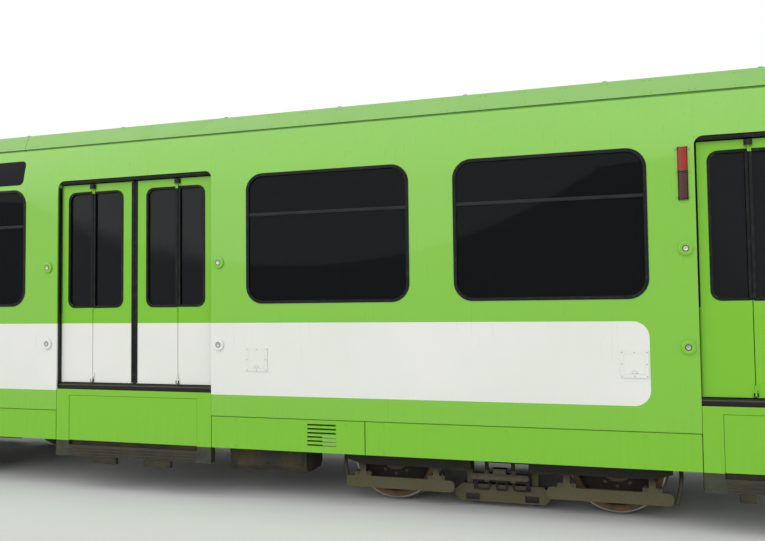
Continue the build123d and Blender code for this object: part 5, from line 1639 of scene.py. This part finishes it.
# %% Bezels and wiper
def bezel(y, radius):
    """The ring round one lamp of the nose."""
    alone()
    bpy.ops.mesh.primitive_circle_add(vertices=32, radius=radius + 0.016, fill_type="NGON",
                                      location=(nose_x + 0.05, y, lamp_z), rotation=(0, math.pi / 2, 0))
    piece = settle(bpy.context.object)
    pick("FACE")
    bpy.ops.mesh.inset(thickness=0.014)
    bpy.ops.mesh.delete(type="FACE")
    close(False)
    wrap(piece, "x")
    return thicken(piece, 0.006, 0.002)


both_ends(both_sides([bezel(-0.72, 0.090), bezel(-0.54, 0.045)]), "lamp_bezels", dull_metal)


def nose_point(y, z, lift):
    """A point before the outside of the cab."""
    start, back = Vector((nose_x + 1.0, y, z)), Vector((-1, 0, 0))
    for node in ("glass_b", "cab_front_b"):
        hit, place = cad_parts[node].ray_cast(start, back)[:2]
        if hit:
            return place + Vector((lift, 0, 0))


wiper_foot, wiper_tip = nose_point(0.10, rail_top + 1.425, 0.020), nose_point(0.535, rail_top + 1.98, 0.034)
hub_cap = lathe([(0.030, -0.024), (0.030, 0.0), (0.022, 0.010), (0.0, 0.012)], wiper_foot, (1, 0, 0.05), 18)
blade = rod(nose_point(0.45, rail_top + 1.62, 0.016), nose_point(0.62, rail_top + 2.34, 0.016), 0.009, 8)
clamp = lathe([(0.0, -0.022), (0.014, -0.022), (0.014, 0.006), (0.0, 0.008)], wiper_tip, (1, 0, 0.2), 12)
both_ends(joined([rod(wiper_foot, wiper_tip, 0.007, 8), hub_cap, blade, clamp]), "wipers", dark_plastic)
print("wiper from", [round(value, 3) for value in wiper_foot])

# %% [markdown]
# ## Coupler
#
# The face plate of the coupler is bolted round its edge, and under it hangs a box for the electric contacts.

# %% Coupler bolts and contact box
face_x, coupler_z = nose_x + 0.300, rail_top + 0.52
coupler_bolts = [bolt((face_x + 0.0002, y, coupler_z + z), (1, 0, 0), 0.011, 0.012)
                 for y in (-0.148, 0.148) for z in (-0.115, 0.0, 0.115)]
box_face = face_x - 0.038
contact_box = stepped((face_x - 0.25, -0.12, coupler_z - 0.235), (box_face, 0.12, coupler_z - 0.130), "-Z",
                      [(0.012, 0.006), (0.02, -0.003)], 0.006)
contact_lid = stepped((box_face, -0.11, coupler_z - 0.228), (box_face + 0.014, 0.11, coupler_z - 0.148), "+X",
                      [(0.008, 0.004), (0.010, -0.002)], 0.002)
details = joined(coupler_bolts + [contact_box, contact_lid])
for end, piece in (("a", twin(details, turned)), ("b", details)):
    keep(piece, f"coupler_details_{end}", f"coupler_{end}", coupler_paint)
print("coupler face at", round(face_x, 3))

# %% [markdown]
# ## Saloon details
#
# Through the windows one sees light strips under the ceiling, grab rails on droppers, and the driver's desk.
# The strips are milky covers in thin frames. They are off in this model, so they only look pale.

# %% Ceiling lights and rails
lamp_cover = plain_finish("milky lamp cover", (0.40, 0.41, 0.40), (0.34, 0.34, 0.32), 0.35, 0.0, 10.0, 0.05)


ceiling_z, rail_z, dropper_pitch = rail_top + 3.159, rail_top + 2.86, 1.2


def ceiling(start, end):
    """Light strips and grab rails along one section."""
    strips = [stepped((start, y - 0.07, rail_top + 3.125), (end, y + 0.07, rail_top + 3.1595), "-Z",
                      [(0.015, 0.012)], 0.005) for y in (-0.34, 0.34)]
    rails = []
    for y in (-0.52, 0.52):
        rails.append(rod((start, y, rail_z), (end, y, rail_z), 0.017))
        count = int((end - start) / dropper_pitch)
        for place in range(count + 1):
            x = start + 0.1 + (end - start - 0.2) * place / count
            rails.append(rod((x, y, rail_z), (x, y, ceiling_z), 0.011, 8))
    return joined(strips), joined(rails)


for end, start, stop in (("b", 4.05, 11.95), ("c", -2.55, 2.55), ("a", -11.95, -4.05)):
    strips, rails = ceiling(start, stop)
    keep(strips, f"light_strips_{end}", f"section_{end}", lamp_cover)
    keep(rails, f"grab_rails_{end}", f"section_{end}", pole_metal)
print("light strips in three sections")

# %% Driver's desk
slope = math.atan2(0.10, 0.55)
desk_edge = Vector((nose_x - 0.950, 0, rail_top + 1.60))
along_desk = Vector((math.cos(slope), 0, math.sin(slope)))
off_desk = Vector((-math.sin(slope), 0, math.cos(slope)))


def desk_point(along, y, lift=0.0008):
    """A point over the sloping top of the desk, along it from its near edge."""
    return desk_edge + along_desk * along + off_desk * lift + Vector((0, y, 0))


panels = []
for y, half in ((-0.45, 0.13), (0.0, 0.17), (0.45, 0.13)):
    alone()
    bpy.ops.mesh.primitive_plane_add(size=1, location=desk_point(0.33, y), rotation=(0, -slope, 0))
    bpy.context.object.scale = (0.26, 2 * half, 1)
    settle(bpy.context.object)
    pick("VERT")
    bpy.ops.mesh.bevel(offset=0.02, segments=4, affect="VERTICES")
    pick("FACE")
    terrace([(0.001, 0.006), (0.012, 0.0), (0.002, -0.003)])
    panels.append(close(False))
knob = lathe([(0.011, 0.0), (0.010, 0.009), (0.007, 0.011), (0.0, 0.011)], (0, 0, 0), off_desk, 10)
knob_columns, knob_rows = (-0.54, -0.48, -0.42, -0.36, 0.36, 0.42, 0.48, 0.54), (0.27, 0.33, 0.39)
knob_places = [(along, y) for y in knob_columns for along in knob_rows]
controls = [twin(knob, Matrix.Translation(desk_point(along, y, 0.0040))) for along, y in knob_places]
bpy.data.objects.remove(knob)
lever_foot = desk_point(0.10, -0.25)
controls.append(rod(lever_foot, lever_foot + off_desk * 0.16, 0.010, 12))
controls.append(lathe([(0.0, -0.022), (0.014, -0.017), (0.022, 0.0), (0.014, 0.017), (0.0, 0.022)],
                      lever_foot + off_desk * 0.17, off_desk, 14))
controls.append(lathe([(0.05, 0.0), (0.046, 0.012), (0.014, 0.016), (0.0, 0.016)], lever_foot, off_desk, 20))
both_ends(joined(panels), "desk_panels", dark_plastic)
both_ends(joined(controls), "desk_controls", dull_metal)
print("desk controls:", len(knob_places), "knobs and a lever")

# %% [markdown]
# ## Under the floor
#
# From below one sees air tanks in their straps, pipes along both sides and the lids of the cases. A tank is
# spun from an outline with domed ends.


# %% Air tanks, pipes and case lids
def tank(start, end, y, z, radius):
    """A round tank along the car with domed ends and two straps up to the floor."""
    dome = [(0.0, 0.0), (0.45, 0.07), (0.75, 0.20), (0.93, 0.38), (1.0, 0.60)]
    outline = [(radius * a, radius * b) for a, b in dome]
    outline += [(radius * a, end - start - radius * b) for a, b in reversed(dome)]
    parts = [lathe(outline, (start, y, z), (1, 0, 0), 28)]
    inner, outer = radius - 0.002, radius + 0.006
    strap = [(inner, 0.0), (outer, 0.0), (outer, 0.04), (inner, 0.04)]
    for x in (start + 0.22, end - 0.26):
        parts.append(lathe(strap, (x, y, z), (1, 0, 0), 28))
        for side in (-1, 1):
            edge = y + side * (radius - 0.008)
            parts.append(stepped((x + 0.002, edge - 0.006, z), (x + 0.038, edge + 0.006, rail_top + 0.8425),
                                 "-X", [(0.003, 0.001)]))
    return parts


def floor_pipes(start, end, side):
    """The thick and the thin air pipe along one side."""
    return [pipe([(start, side * y, z + 0.03), (start + 0.05, side * y, z), (start + 0.3, side * y, z),
                  (end - 0.3, side * y, z), (end, side * y, z)], radius)
            for y, z, radius in ((0.640, rail_top + 0.815, 0.018), (0.590, rail_top + 0.820, 0.012))]


tanks_b = tank(4.95, 6.05, 0.32, rail_top + 0.66, 0.13) + tank(7.32, 7.92, -0.30, rail_top + 0.68, 0.10)
both_ends(joined(tanks_b), "air_tanks", frame_paint)
pipes_b = floor_pipes(4.9, 8.1, 1) + floor_pipes(4.9, 8.1, -1)
both_ends(joined(pipes_b), "floor_pipes", bolt_steel)
tank_c = joined(tank(-0.55, 0.55, 0.30, rail_top + 0.66, 0.12))
keep(tank_c, "air_tank_c", "section_c", frame_paint)


def case_front(x):
    """The lid on the outer face of the case under the floor."""
    lid = stepped((x - 0.33, -1.0525, rail_top + 0.26), (x + 0.33, -1.0497, rail_top + 0.66), "-Y",
                  [(0.008, 0.006), (0.035, 0.0), (0.006, -0.004)])
    return [lid] + [bolt((x + a * 0.30, -1.0588, rail_top + 0.46 + b * 0.17), (0, -1, 0), 0.009, 0.007)
                    for a in (-1, 0, 1) for b in (-1, 1)]


both_ends(both_sides(case_front(bogie_x - 1.97)), "case_fronts", frame_paint)
print("tanks and pipes under three sections")

# %% [markdown]
# ## Studio
#
# The car stands on a wide pale floor in soft light, seen from where a person on the pavement stands. The
# background is white only for the camera and for reflections, so it adds no light of its own.

# %% Floor, lamps and camera
world = bpy.data.worlds.new("studio")
bpy.context.scene.world = world
world.use_nodes = True
tree = world.node_tree
tree.nodes.clear()
path = tree.nodes.new("ShaderNodeLightPath")
seen, lit = (tree.nodes.new("ShaderNodeBackground") for _ in range(2))
either, any_of = (tree.nodes.new("ShaderNodeMath") for _ in range(2))
both, out = tree.nodes.new("ShaderNodeMixShader"), tree.nodes.new("ShaderNodeOutputWorld")
for background, colour, strength in ((seen, (1, 1, 1, 1), 1.0), (lit, (0.95, 0.97, 1.0, 1), 0.52)):
    background.inputs["Color"].default_value = colour
    background.inputs["Strength"].default_value = strength
either.operation = any_of.operation = "MAXIMUM"
tree.links.new(path.outputs["Is Camera Ray"], either.inputs[0])
tree.links.new(path.outputs["Is Glossy Ray"], either.inputs[1])
tree.links.new(either.outputs[0], any_of.inputs[0])
tree.links.new(path.outputs["Is Transmission Ray"], any_of.inputs[1])
tree.links.new(any_of.outputs[0], both.inputs[0])
tree.links.new(lit.outputs[0], both.inputs[1])
tree.links.new(seen.outputs[0], both.inputs[2])
tree.links.new(both.outputs[0], out.inputs["Surface"])

bpy.ops.object.select_all(action="DESELECT")
bpy.ops.mesh.primitive_plane_add(size=160)
floor = bpy.context.object
floor.name = "studio_floor"
floor_finish = Finish("pale floor", (0.82, 0.82, 0.81), roughness=0.75)
dress(floor, floor_finish)


def sun(name, energy, angle, turn):
    """A wide soft lamp; angle and turn are in degrees."""
    bpy.ops.object.light_add(type="SUN", rotation=[math.radians(a) for a in turn])
    lamp = bpy.context.object
    lamp.name, lamp.data.energy, lamp.data.angle = name, energy, math.radians(angle)


sun("key light", 1.55, 70, (52, 0, -24))
sun("fill light", 0.45, 90, (70, 0, 50))

camera_data = bpy.data.cameras.new("camera")
camera_data.sensor_width, camera_data.lens = 36.0, 35.18
camera_data.clip_end = 400
camera = bpy.data.objects.new("camera", camera_data)
bpy.context.collection.objects.link(camera)
yaw, pitch, roll = (math.radians(a) for a in (17.173, 2.564, -0.662))
ahead = Vector((-math.sin(yaw) * math.cos(pitch), math.cos(yaw) * math.cos(pitch), math.sin(pitch)))
camera.location = (10.709, -6.963, 1.6735)
camera.rotation_mode = "QUATERNION"
turn = ahead.to_track_quat("-Z", "Y").to_matrix().to_4x4()
camera.rotation_quaternion = (turn @ Matrix.Rotation(roll, 4, "Z")).to_quaternion()
bpy.context.scene.camera = camera
bpy.context.scene.view_settings.view_transform = "Standard"
print("camera at", tuple(round(v, 3) for v in camera.location))
